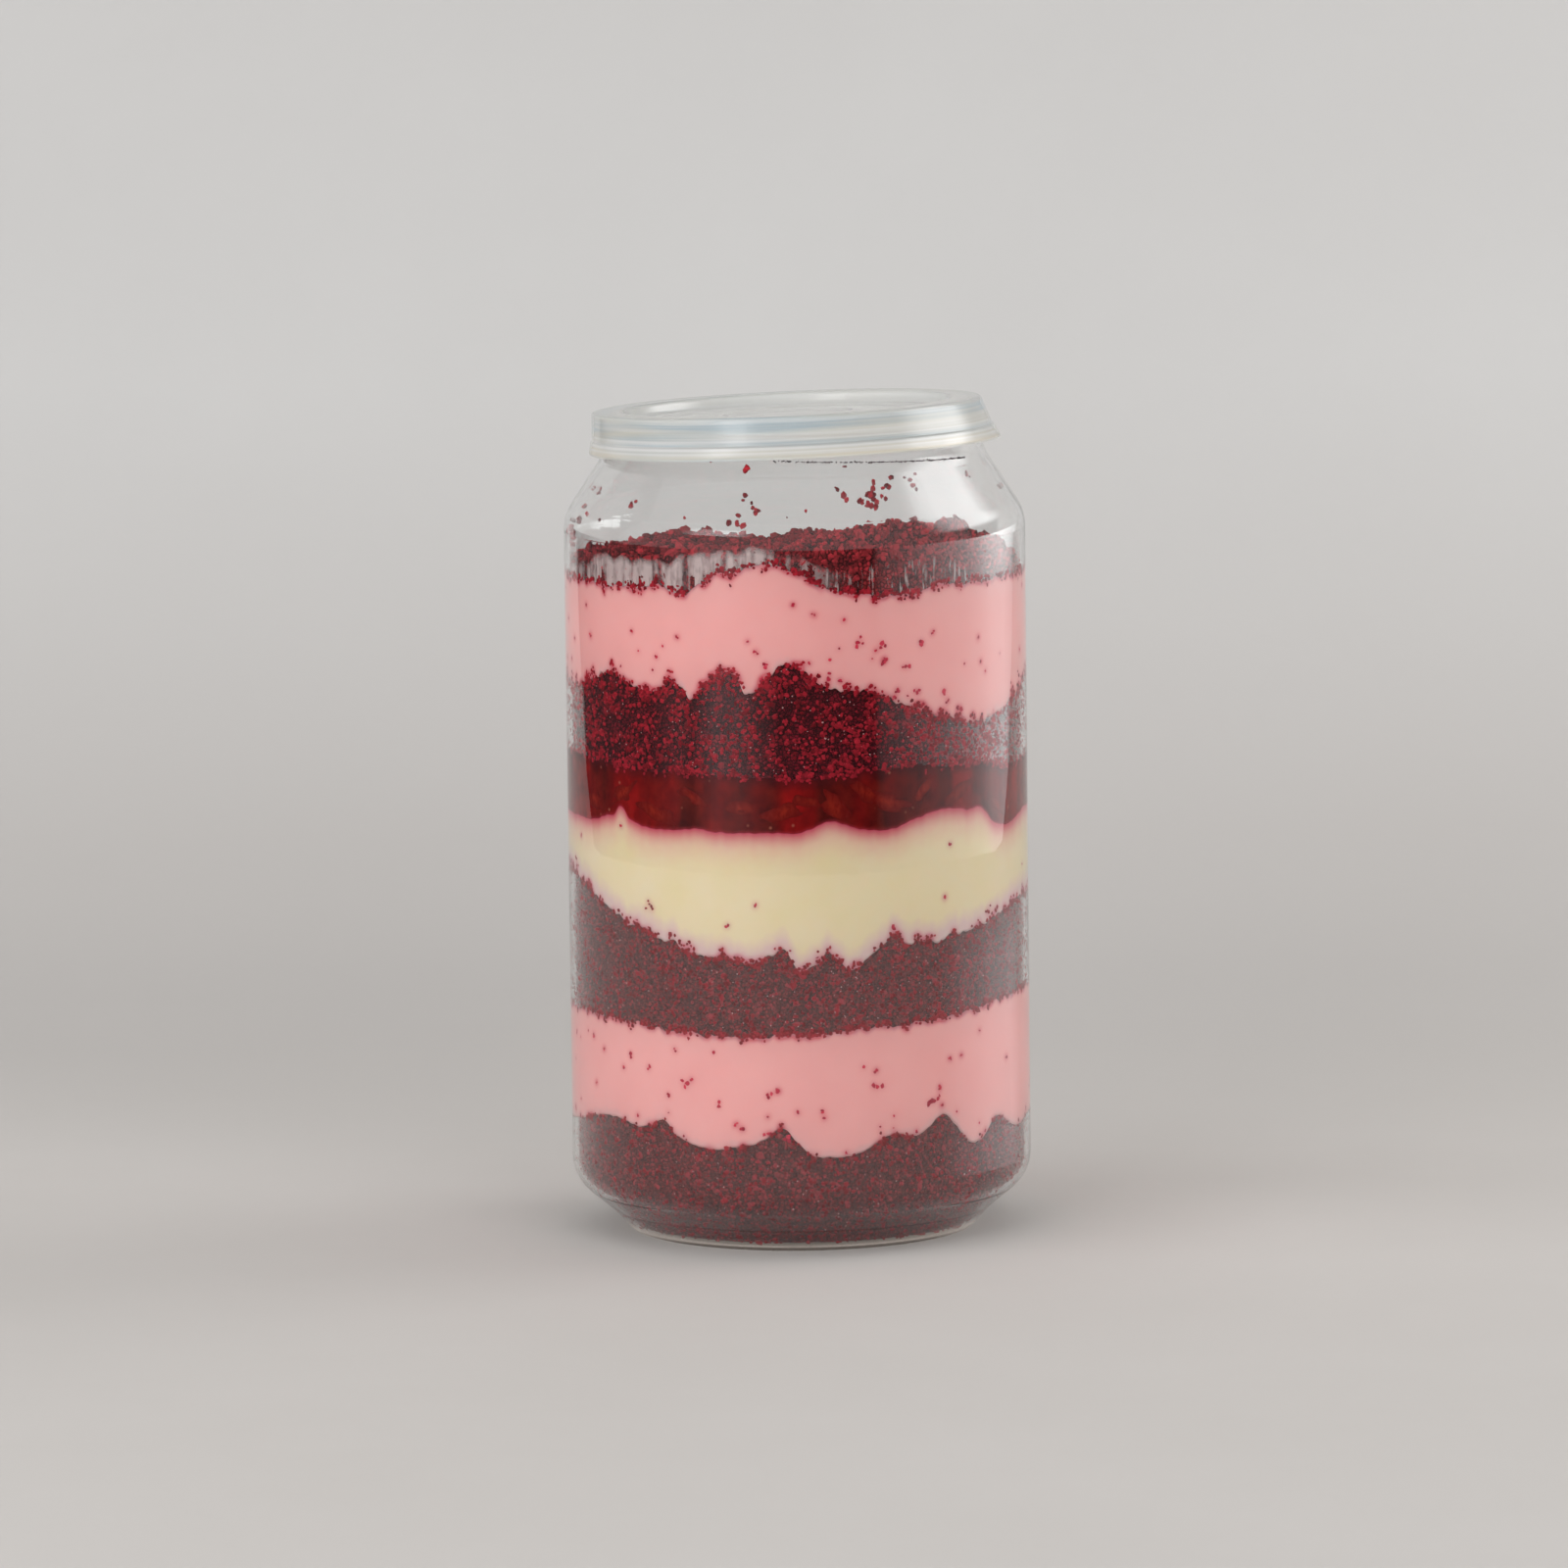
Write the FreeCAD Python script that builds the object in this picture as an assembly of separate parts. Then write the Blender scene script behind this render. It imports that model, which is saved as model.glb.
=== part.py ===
"""A clear drink-can-shaped dessert jar with its soft push-on lid, filled with layers of cake and cream.

Millimetres, +Z up. The origin is on the table plane, at the centre of the foot ring. The front is -Y and
+X is to its right. Directions round the can are in degrees from the front, growing towards +X.
"""
import FreeCAD, Part

import math
import os

from FreeCAD import Matrix, Placement, Rotation, Vector

# The can, blown from clear plastic
BODY_RADIUS = 33.05
CAN_HEIGHT = 116.4
WALL = 0.8
FOOT_INSET = 8.3        # from the straight side in to the outer edge of the foot ring
FOOT_WIDTH = 1.5        # of the ring that stands on the table, its rounded edges included
FOOT_ROUND = 0.4
CREASE_ROUND = 1.6      # at the edge of the hollow under the can and at the heel
PUSH_UP = 4.6           # height of the hollow under the can, at its centre
PUSH_UP_FALL = 0.9      # drop of that hollow's roof from its centre to its edge
PUSH_UP_INSET = 4.9     # from the foot ring in to that edge
HEEL_INSET = 5.65       # the crease above the foot, measured in from the straight side
HEEL_HEIGHT = 2.8
CHAMFER_ANGLE = 40.0    # slope of the lower cone from level
CHAMFER_ROUND = 6.0
SHOULDER_ANGLE = 57.0   # slope of the upper cone from level
SHOULDER_ROUND = 6.8
NECK_INSET = 5.7        # how far the neck is drawn in from the straight side
NECK_TAPER = 0.95       # how much narrower the neck is under the rim
NECK_ROUND = 5.0
RIM_REACH = 0.9         # how far the rim stands out from the neck below it
RIM_THICKNESS = 1.2
RIM_ROUND = 0.35

# The lid, moulded from soft milky plastic. Depths are measured down from the top of its outer ring.
LID_THICKNESS = 0.9
LID_SKIRT_HEIGHT = 5.9
LID_BITE = 0.07         # how far the inner ledge lies over the rim on the high side
LID_CATCH_DEPTH = 3.3   # the inner ledge that catches under the rim
LID_CATCH_WALL = 0.85   # thickness of the skirt at the ledge
LID_TOP_WALL = 0.45     # thickness of the skirt at its top
LID_CATCH_STEP = 0.6    # width of the ledge
LID_FLARE = 0.8         # how much wider the skirt is at the ledge than at the top
LID_RIDGE_DEPTH = 3.9
LID_RIDGE = 0.25        # the small outward step round the skirt
LID_LIP = 0.4           # further outward spread of the skirt down to its lip
LID_LIP_HEIGHT = 0.6
LID_LIP_REACH = 0.12
LID_LIP_DROP = 0.2      # how far the lip reaches below the foot of the neck
LID_RING_ROUND = 0.5
LID_PLUG_GAP = 0.3      # between the mouth and the sunk centre of the lid, once the lid leans
LID_PLUG_DEPTH = 1.6
LID_PLUG_DRAFT = 0.3
LID_DISC_THICKNESS = 0.8
LID_BEADS = (0.42, 0.82)        # raised circles on the sunk centre, as shares of its radius
LID_BEAD_REACH = 0.9    # from the middle of such a circle to its edge
LID_BEAD_CREST = 0.3    # from its middle to the edge of its flat crest
LID_BEAD_HEIGHT = 0.3
LID_LEAN = 0.22         # the soft lid is pulled towards its low side, in mm for each mm of height
LID_HIGH_SIDE = 52.0    # direction in which the lid stands high
LID_REST_GAP = 0.05

# The filling. Heights are in hundredths of its depth, which is measured from the table plane.
HEADSPACE = 15.4        # from the rim down to the mean level of the topping
# Each layer: its name, the level of its top, and the swells of that top round the wall, each as
# (direction, half width in degrees, rise).
LAYERS = (
    ("crumb_bottom", 16.4, (
        (-56, 26, 2.2), (-37, 9, 1.6), (-22, 12, -0.9), (-5, 8, 1.6), (9, 15, -2.0), (24, 9, 0.9),
        (38, 10, 2.3), (49, 8, -1.8), (60, 8, 0.8), (71, 10, -1.0), (112, 25, 1.6), (150, 22, -1.5),
        (187, 22, 1.8), (226, 20, -1.2), (258, 18, 1.2))),
    ("cream_pink_lower", 32.7, (
        (-16, 45, -1.2), (78, 55, 2.0), (190, 60, 1.2))),
    ("crumb_middle", 44.0, (
        (-82, 52, 8.4), (-44, 14, 0.9), (-24, 16, -0.8), (-5, 9, 2.2), (2, 34, -3.4), (7, 8, 1.6),
        (24, 11, 1.6), (80, 46, 4.2), (150, 50, 3.4), (215, 46, 4.6))),
    ("custard", 60.3, (
        (-52, 14, 1.2), (9, 12, 0.9), (40, 20, 2.3), (65, 14, -1.4), (150, 40, 1.2), (235, 34, -1.0))),
    ("jam", 68.4, (
        (-75, 32, 0.9), (-2, 26, -0.6), (29, 22, 0.6), (70, 22, -1.2), (180, 50, 1.0))),
    ("crumb_upper", 79.2, (
        (-54, 16, 2.3), (-33, 9, 1.6), (-18, 10, 4.0), (-2, 12, 4.6), (12, 12, 1.2), (52, 38, -4.8),
        (122, 34, -1.2), (180, 40, 3.0), (240, 34, -1.0))),
    ("cream_pink_upper", 94.0, (
        (-9, 22, 3.8), (25, 16, -1.0), (120, 34, 1.8), (190, 34, -1.5), (250, 30, 1.4))),
)
TOPPING = "crumb_top"
TOPPING_LEVEL = 97.4
TOPPING_FALL = 2.2      # how much lower it lies at the back than in the middle
# Mounds and dips of the topping: (right, back, radius) as shares of the inner radius, and rise
TOPPING_MOUNDS = (
    (0.42, -0.36, 0.40, 2.7), (0.80, -0.36, 0.20, 1.0), (-0.52, -0.34, 0.28, 2.5), (0.02, -0.34, 0.18, 1.3),
    (-0.90, -0.42, 0.24, -2.4), (0.0, 0.42, 0.34, 0.8))

SURFACE_STEPS = 44      # steps across the can between the points that carry a layer's surface
SURFACE_MARGIN = 1.5
NO_LENGTH = 1e-6


def cone_rise(width, angle):
    """Height that a slope at this angle from level gains over this width."""
    return width * math.tan(math.radians(angle))


# Sizes that follow from the ones above
NECK_RADIUS = BODY_RADIUS - NECK_INSET
NECK_TOP_RADIUS = NECK_RADIUS - NECK_TAPER
MOUTH_RADIUS = NECK_TOP_RADIUS - WALL
RIM_RADIUS = NECK_TOP_RADIUS + RIM_REACH
NECK_HEIGHT = LID_SKIRT_HEIGHT - LID_THICKNESS - LID_LIP_DROP
FILL_DEPTH = CAN_HEIGHT - HEADSPACE
INNER_RADIUS = BODY_RADIUS - WALL


def rounded_wire(corners):
    """Straight edges through corners (radius, height, rounding), each corner with its own rounding."""
    points = [Vector(radius, 0, height) for radius, height, rounding in corners]
    edges = []
    start = points[0]
    for before, corner, after, (_, _, rounding) in zip(points, points[1:], points[2:], corners[1:]):
        arrive = (corner - before).normalize()
        leave = (after - corner).normalize()
        turn = arrive.getAngle(leave)
        cut = rounding * math.tan(turn / 2)
        first = corner - arrive * cut
        last = corner + leave * cut
        if start.distanceToPoint(first) > NO_LENGTH:
            edges.append(Part.LineSegment(start, first).toShape())
        if rounding > 0:
            bisector = (leave - arrive).normalize()
            centre = corner + bisector * (rounding / math.cos(turn / 2))
            edges.append(Part.Arc(first, centre - bisector * rounding, last).toShape())
        start = last
    edges.append(Part.LineSegment(start, points[-1]).toShape())
    return edges


def inset_corners(corners, inset):
    """The same outline moved to its left by inset, with roundings that keep the wall even."""
    moved = []
    for index, (radius, height, rounding) in enumerate(corners):
        corner = Vector(radius, 0, height)
        sides = []
        for step in (-1, 1):
            other = index + step
            if 0 <= other < len(corners):
                along = (Vector(corners[other][0], 0, corners[other][1]) - corner) * step
                along.normalize()
                sides.append(Vector(-along.z, 0, along.x))
        if len(sides) == 1:
            moved.append((radius + sides[0].x * inset, height + sides[0].z * inset, 0))
            continue
        middle = (sides[0] + sides[1]).normalize()
        shift = middle * (inset / middle.dot(sides[0]))
        turns_left = sides[0].cross(sides[1]).y < 0
        kept = rounding - inset if turns_left else rounding + inset
        moved.append((radius + shift.x, height + shift.z, max(kept, 0) if rounding else 0))
    return moved


def revolve(edges):
    """Turn a closed outline round the Z axis into one solid."""
    face = Part.Face(Part.Wire(Part.sortEdges(edges)[0]))
    return face.revolve(Vector(0, 0, 0), Vector(0, 0, 1), 360)


def can_outline():
    """Corners of the can's outer side, from the centre of its base to under the rim."""
    foot_radius = BODY_RADIUS - FOOT_INSET
    foot_inner = foot_radius - FOOT_WIDTH
    heel_radius = BODY_RADIUS - HEEL_INSET
    chamfer_top = HEEL_HEIGHT + cone_rise(HEEL_INSET, CHAMFER_ANGLE)
    shoulder_top = CAN_HEIGHT - NECK_HEIGHT
    shoulder_start = shoulder_top - cone_rise(NECK_INSET, SHOULDER_ANGLE)
    return [
        (0, PUSH_UP, 0),
        (foot_inner - PUSH_UP_INSET, PUSH_UP - PUSH_UP_FALL, CREASE_ROUND),
        (foot_inner, 0, FOOT_ROUND),
        (foot_radius, 0, FOOT_ROUND),
        (heel_radius, HEEL_HEIGHT, CREASE_ROUND),
        (BODY_RADIUS, chamfer_top, CHAMFER_ROUND),
        (BODY_RADIUS, shoulder_start, SHOULDER_ROUND),
        (NECK_RADIUS, shoulder_top, NECK_ROUND),
        (NECK_TOP_RADIUS, CAN_HEIGHT, 0),
    ]


def on_axis(corners):
    """Bring the first corner of an inset outline back onto the axis."""
    radius, height, _ = corners[0]
    slope = (corners[1][1] - height) / (corners[1][0] - radius)
    return [(0, height - radius * slope, 0)] + corners[1:]


def at_height(corners, height):
    """Let the last stretch of an outline end at this height."""
    (low_radius, low, _), (high_radius, high, _) = corners[-2:]
    share = (height - low) / (high - low)
    return corners[:-1] + [(low_radius + (high_radius - low_radius) * share, height, 0)]


def inside_outline():
    """Corners of the can's inner side, one wall in from its outer side."""
    return at_height(on_axis(inset_corners(can_outline(), WALL)), CAN_HEIGHT)


def make_can():
    """The thin shell, with a rim rolled out round its mouth."""
    inside = inside_outline()
    rim_underside = CAN_HEIGHT - RIM_THICKNESS
    outside = at_height(can_outline(), rim_underside)
    outside[-1] = (outside[-1][0], rim_underside, RIM_ROUND)
    outside += [
        (RIM_RADIUS, rim_underside, RIM_ROUND),
        (RIM_RADIUS, CAN_HEIGHT, RIM_ROUND),
        (inside[-1][0], CAN_HEIGHT, 0),
    ]
    closing = Part.LineSegment(Vector(0, 0, PUSH_UP), Vector(0, 0, inside[0][1])).toShape()
    return revolve(rounded_wire(outside) + rounded_wire(inside) + [closing])


def lid_outline():
    """Corners of the lid's section, down its outer side, up its inner side and in along its underside."""
    catch_radius = RIM_RADIUS + LID_LEAN * (LID_SKIRT_HEIGHT - LID_CATCH_DEPTH) - LID_BITE
    skirt_radius = catch_radius + LID_CATCH_WALL
    top_radius = skirt_radius - LID_FLARE
    ridge_radius = skirt_radius + LID_RIDGE
    lip_radius = ridge_radius + LID_LIP
    plug_radius = MOUTH_RADIUS - LID_PLUG_GAP - LID_LEAN * LID_SKIRT_HEIGHT
    recess_radius = plug_radius - LID_DISC_THICKNESS
    disc_top = -LID_PLUG_DEPTH
    outline = [(0, disc_top, 0)]
    for share in LID_BEADS:
        bead_radius = share * recess_radius
        outline += [
            (bead_radius - LID_BEAD_REACH, disc_top, 0),
            (bead_radius - LID_BEAD_CREST, disc_top + LID_BEAD_HEIGHT, 0),
            (bead_radius + LID_BEAD_CREST, disc_top + LID_BEAD_HEIGHT, 0),
            (bead_radius + LID_BEAD_REACH, disc_top, 0),
        ]
    outline += [
        (recess_radius, disc_top, LID_RING_ROUND),
        (recess_radius + LID_PLUG_DRAFT, 0, LID_RING_ROUND),
        (top_radius, 0, LID_RING_ROUND),
        (skirt_radius, -LID_RIDGE_DEPTH, 0),
        (ridge_radius, -LID_RIDGE_DEPTH - LID_RIDGE, 0),
        (lip_radius, -LID_SKIRT_HEIGHT + LID_LIP_HEIGHT, 0),
        (lip_radius + LID_LIP_REACH, -LID_SKIRT_HEIGHT + LID_LIP_HEIGHT / 2, 0),
        (lip_radius + LID_LIP_REACH, -LID_SKIRT_HEIGHT, 0),
        (lip_radius + LID_LIP_REACH - LID_THICKNESS, -LID_SKIRT_HEIGHT, 0),
        (catch_radius + LID_CATCH_STEP, -LID_CATCH_DEPTH, 0),
        (catch_radius, -LID_CATCH_DEPTH, 0),
        (top_radius - LID_TOP_WALL, -LID_THICKNESS, 0),
        (plug_radius + LID_PLUG_DRAFT, -LID_THICKNESS, 0),
        (plug_radius, disc_top - LID_DISC_THICKNESS, 0),
        (0, disc_top - LID_DISC_THICKNESS, 0),
    ]
    return outline


def make_lid():
    """The lid, caught under the rim on its low side and still lying on top of it on its high side."""
    outline = lid_outline()
    edges = rounded_wire(outline)
    edges.append(Part.LineSegment(Vector(0, 0, outline[-1][1]), Vector(0, 0, outline[0][1])).toShape())
    lid = revolve(edges)

    high = math.radians(LID_HIGH_SIDE)
    towards_high = Vector(math.sin(high), -math.cos(high), 0)
    lean = Matrix()
    lean.A13 = -LID_LEAN * towards_high.x
    lean.A23 = -LID_LEAN * towards_high.y
    lean.A14 = lean.A13 * LID_SKIRT_HEIGHT
    lean.A24 = lean.A23 * LID_SKIRT_HEIGHT
    lid = lid.transformGeometry(lean)

    tilt = math.asin((LID_CATCH_DEPTH - LID_THICKNESS) / (2 * RIM_RADIUS))
    top_height = CAN_HEIGHT + LID_REST_GAP + RIM_RADIUS * math.tan(tilt) + LID_THICKNESS / math.cos(tilt)
    hinge = Vector(0, 0, 1).cross(towards_high)
    lid.Placement = Placement(Vector(0, 0, top_height), Rotation(hinge, -math.degrees(tilt)))
    return lid


def swell(offset, half_width):
    """A smooth bump: 1 in its middle and 0 from half_width on."""
    if abs(offset) >= half_width:
        return 0.0
    return (1 + math.cos(math.pi * offset / half_width)) / 2


def wall_height(level, swells, direction):
    """Height of a layer's top at the wall, in hundredths of the filling."""
    height = level
    for middle, half_width, rise in swells:
        offset = (direction - middle + 180) % 360 - 180
        height += rise * swell(offset, half_width)
    return height


def layer_height(level, swells, x, y):
    """Height of a layer's top: its swells fade from the wall to a level middle."""
    share = min(math.hypot(x, y) / INNER_RADIUS, 1.0)
    fade = share * share * (3 - 2 * share)
    direction = math.degrees(math.atan2(x, -y))
    return (level + (wall_height(level, swells, direction) - level) * fade) * FILL_DEPTH / 100


def topping_height(x, y):
    """Height of the loose topping, heaped towards the front."""
    right = x / INNER_RADIUS
    back = y / INNER_RADIUS
    height = TOPPING_LEVEL - TOPPING_FALL * back
    for mound_right, mound_back, radius, rise in TOPPING_MOUNDS:
        height += rise * math.exp(-((right - mound_right) ** 2 + (back - mound_back) ** 2) / radius ** 2)
    return height * FILL_DEPTH / 100


def height_surface(height):
    """A smooth face z = height(x, y) that reaches past the can on all sides."""
    reach = BODY_RADIUS + SURFACE_MARGIN
    places = [reach * (2 * step / SURFACE_STEPS - 1) for step in range(SURFACE_STEPS + 1)]
    surface = Part.BSplineSurface()
    surface.interpolate([[Vector(x, y, height(x, y)) for y in places] for x in places])
    return surface.toShape()


def make_filling():
    """Cut the inside of the can along the layers' tops; the part above the topping stays empty."""
    outline = inside_outline()
    edges = rounded_wire(outline)
    top = outline[-1][1]
    edges.append(Part.LineSegment(Vector(outline[-1][0], 0, top), Vector(0, 0, top)).toShape())
    edges.append(Part.LineSegment(Vector(0, 0, top), Vector(0, 0, outline[0][1])).toShape())
    inside = revolve(edges)
    cuts = [height_surface(lambda x, y, a=level, b=swells: layer_height(a, b, x, y))
            for _, level, swells in LAYERS]
    cuts.append(height_surface(topping_height))
    pieces, _ = inside.generalFuse(cuts)
    solids = sorted(pieces.Solids, key=lambda solid: solid.CenterOfMass.z)
    names = [name for name, _, _ in LAYERS] + [TOPPING]
    if len(solids) != len(names) + 1:
        raise RuntimeError(f"the filling came apart into {len(solids)} pieces")
    return dict(zip(names, solids))


def main():
    """Write one STEP file for each piece."""
    os.makedirs("parts", exist_ok=True)
    nodes = {"can": make_can(), "lid": make_lid()}
    nodes.update(make_filling())
    for name, shape in nodes.items():
        shape.exportStep(f"parts/{name}.step")
        box = shape.BoundBox
        print(f"{name}: {len(shape.Solids)} solid, {shape.Volume / 1000:.2f} cm3, valid {shape.isValid()},",
              f"z {box.ZMin:.2f} to {box.ZMax:.2f}")


main()
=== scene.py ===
# %% [markdown]
# # A layered dessert in a clear can
# The object is a clear plastic can, filled with red cake crumb, pink cream, pale custard and red
# fruit jam, and closed by a milky lid that was pushed on askew. The can and the lid come ready made
# from the CAD model. This lesson makes the food, which a CAD model can only give as smooth blocks,
# then the finishes, and last the table, the lights and the camera.
# Everything is in metres, upright along Z, with the front of the can towards -Y.

# %% Load the fixed frame
import math

import bmesh
import bpy
import numpy
from mathutils import kdtree, Matrix, Vector, noise
from mathutils.bvhtree import BVHTree


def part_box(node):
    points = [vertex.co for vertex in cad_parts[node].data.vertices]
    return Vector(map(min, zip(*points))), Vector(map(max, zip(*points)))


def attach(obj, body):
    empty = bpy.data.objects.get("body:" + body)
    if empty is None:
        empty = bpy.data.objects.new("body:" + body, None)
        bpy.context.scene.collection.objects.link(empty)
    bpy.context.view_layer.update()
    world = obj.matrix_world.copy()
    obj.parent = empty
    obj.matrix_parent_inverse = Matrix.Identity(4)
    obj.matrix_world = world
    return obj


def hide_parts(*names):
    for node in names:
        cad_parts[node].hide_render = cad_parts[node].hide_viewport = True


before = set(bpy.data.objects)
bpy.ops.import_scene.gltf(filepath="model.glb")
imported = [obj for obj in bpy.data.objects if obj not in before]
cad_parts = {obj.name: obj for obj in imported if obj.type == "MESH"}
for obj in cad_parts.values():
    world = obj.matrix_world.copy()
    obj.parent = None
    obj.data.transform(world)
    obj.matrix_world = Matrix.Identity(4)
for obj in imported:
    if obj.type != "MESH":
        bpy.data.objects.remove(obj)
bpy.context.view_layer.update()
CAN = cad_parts["can"]
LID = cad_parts["lid"]

# %% [markdown]
# ## Lengths
# The food is thought of in millimetres, because crumbs are that small, and Blender is kept in
# metres. One constant does the turning over. Every random choice comes from a die with a fixed
# seed, so the dessert comes out the same each time it is made.

# %% Lengths and chance
MM = 0.001
INSIDE = 32.25 * MM          # the straight wall's inner radius
FILL = 101.0 * MM            # the depth that the layers share
INTO_WALL = 0.05 * MM        # how far food reaches into the wall, so that no gap shows
WELD = 0.002 * MM            # vertices closer than this become one


def chance(seed):
    """A die of its own for each piece, so that changing one piece leaves the others alone."""
    return numpy.random.default_rng(4100 + seed)


# %% [markdown]
# ## How wide is the can inside?
# The food has to follow the can's heel, its straight side and its shoulder. The radius could be
# typed in again for every height, but the can is already here, so rays are shot at its wall from
# the inside and the distances are kept in a table.

# %% Measure the inside of the can
OFF_SEAM = 0.3 * MM          # rays miss the seam of the mesh by this much


def wall_tree(node):
    """The node's triangles, sorted so that a ray finds them quickly."""
    mesh = node.data
    return BVHTree.FromPolygons([v.co for v in mesh.vertices], [p.vertices for p in mesh.polygons])


can_tree = wall_tree(CAN)


def can_hit(start, way):
    return can_tree.ray_cast(Vector(start), Vector(way))[0]


FLOOR_RADII = numpy.arange(0.0, 25.6, 0.4) * MM
FLOOR_HEIGHTS = numpy.array([can_hit((r, OFF_SEAM, 30 * MM), (0, 0, -1)).z for r in FLOOR_RADII])
TROUGH = int(FLOOR_HEIGHTS.argmin())
WALL_HEIGHTS = numpy.arange(1000 * FLOOR_HEIGHTS[TROUGH] + 0.1, 110.0, 0.2) * MM
WALL_RADII = numpy.array([can_hit((FLOOR_RADII[TROUGH], OFF_SEAM, z), (1, 0, 0)).x for z in WALL_HEIGHTS])


def inside_radius(height):
    return numpy.interp(height, WALL_HEIGHTS, WALL_RADII)


print("trough at radius", round(1000 * FLOOR_RADII[TROUGH], 1), "mm; wall radii at 2, 5, 50, 105 mm:",
      [round(1000 * float(inside_radius(z * MM)), 2) for z in (2, 5, 50, 105)])

# %% [markdown]
# ## Where one layer ends and the next begins
# A spoon and a piping bag leave every layer uneven where it meets the wall. Each border is a level
# plus a few swells: where it is, measured in degrees round the wall from the front, how far it
# spreads, and how much it rises or dips. Heights are hundredths of the filling's depth. Smaller
# cusps and a little raggedness on top of that keep the line from looking drawn.

# %% Borders of the layers
BORDERS = {
    "crumb_bottom": (16.4, ((-56, 26, 2.2), (-37, 9, 1.6), (-22, 12, -0.9), (-5, 8, 1.6), (9, 15, -2.0),
        (24, 9, 0.9), (38, 10, 2.3), (49, 8, -1.8), (60, 8, 0.8), (71, 10, -1.0), (112, 25, 1.6),
        (150, 22, -1.5), (187, 22, 1.8), (226, 20, -1.2), (258, 18, 1.2))),
    "cream_pink_lower": (32.7, ((-16, 45, -1.2), (78, 55, 2.0), (190, 60, 1.2))),
    "crumb_middle": (44.0, ((-82, 52, 8.4), (-44, 14, 0.9), (-24, 16, -0.8), (-5, 9, 2.2), (2, 34, -3.4),
        (7, 8, 1.6), (24, 11, 1.6), (80, 46, 4.2), (150, 50, 3.4), (215, 46, 4.6))),
    "custard": (60.3, ((-52, 14, 1.2), (9, 12, 0.9), (40, 20, 2.3), (65, 14, -1.4), (150, 40, 1.2),
        (235, 34, -1.0))),
    "jam": (68.4, ((-75, 32, 0.9), (-2, 26, -0.6), (29, 22, 0.6), (70, 22, -1.2), (180, 50, 1.0))),
    "crumb_upper": (79.2, ((-54, 16, 2.3), (-33, 9, 1.6), (-18, 10, 4.0), (-2, 12, 4.6), (12, 12, 1.2),
        (52, 38, -4.8), (122, 34, -1.2), (180, 40, 3.0), (240, 34, -1.0))),
    "cream_pink_upper": (94.0, ((-9, 22, 3.8), (25, 16, -1.0), (120, 34, 1.8), (190, 34, -1.5),
        (250, 30, 1.4))),
}
CUSPS = {    # smaller bumps on the same lines: direction, spread, and rise in millimetres
    "crumb_bottom": ((-37, 4, 0.8), (-33, 3, -0.3), (-5, 4, 0.8), (3, 5, -0.3), (38, 5, 0.8), (58, 5, 0.7),
        (110, 5, 0.8), (140, 4, 0.7), (176, 5, 0.9), (215, 4, 0.7), (246, 5, 0.8)),
    "crumb_middle": ((-48, 3, -0.6), (-33, 3, 0.9), (-20, 4, 0.5), (-4, 3, 1.1), (0, 3, -0.9), (7, 2, 1.1),
        (13, 4, -0.7), (24, 4, 0.8), (28, 3, -0.8), (41, 4, 0.7), (100, 4, 0.8), (133, 3, 0.9),
        (187, 3, 0.8), (229, 4, 0.9)),
    "custard": ((-50, 3.5, 1.6), (-26, 5, 0.5), (8, 6, 0.7), (52, 6, 1.1), (120, 3, 0.7), (205, 3, 0.8)),
    "crumb_upper": ((-53, 4, 0.6), (-33, 3, 0.8), (-27, 3, -0.7), (-17, 3, -0.5), (-13, 3, -1.2),
        (-3, 3, 0.3), (22, 4, 0.4), (102, 4, 0.8), (147, 4, 0.9), (209, 4, 0.8)),
    "cream_pink_upper": ((-37, 4, 0.7), (-30, 4, -0.5), (-20, 3, 0.8), (-15, 3, -0.6), (-4, 5, 0.5),
        (38, 4, 0.4), (150, 4, 0.6)),
}
RAGGED = {"crumb_bottom": 0.10, "cream_pink_lower": 0.34, "crumb_middle": 0.26, "custard": 0.12,
    "jam": 0.24, "crumb_upper": 0.34, "cream_pink_upper": 0.30}
RAGGED_COUNTS = (17, 29, 43, 67, 101, 149)
BRIDGE = 1.6 * MM            # crumbs lie across the narrow trough of the foot and leave it clear
print(len(BORDERS), "borders,", sum(len(swells) for _, swells in BORDERS.values()), "swells on them")

# %% [markdown]
# ### How high is a border?
# The height of a border is a sum of simple curves of the direction. Towards the axis all but the
# level fades out, because the swells come from the wall, where the spoon went round.

# %% Work out the height of a border
def at_wall(direction, radius=INSIDE):
    """x and y on the wall, for directions in degrees."""
    turn = numpy.radians(direction)
    return numpy.sin(turn) * radius, -numpy.cos(turn) * radius


def direction_of(x, y):
    return numpy.degrees(numpy.arctan2(x, -y))


def waves(direction, counts, shifts):
    """Waves of several lengths round the can, added up."""
    return sum(numpy.sin(numpy.radians(count * direction + shift)) for count, shift in zip(counts, shifts))


def swell(offset, half_width):
    near = numpy.abs(offset) < half_width
    return numpy.where(near, (1 + numpy.cos(math.pi * offset / half_width)) / 2, 0.0)


def swells_at(direction, swells):
    return sum(rise * swell((direction - middle + 180) % 360 - 180, half) for middle, half, rise in swells)


def ragged(name, direction):
    """Small waves of no pattern, the same at 0 and 360 degrees, and the cusps, in millimetres."""
    dice = chance(sum(map(ord, name)))
    total = 0.0
    for count in RAGGED_COUNTS:
        wave = numpy.sin(numpy.radians(count * direction + dice.uniform(0, 360)))
        total = total + wave * dice.uniform(0.5, 1.0)
    return total * RAGGED[name] / 2.4 + swells_at(direction, CUSPS.get(name, ()))


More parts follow.
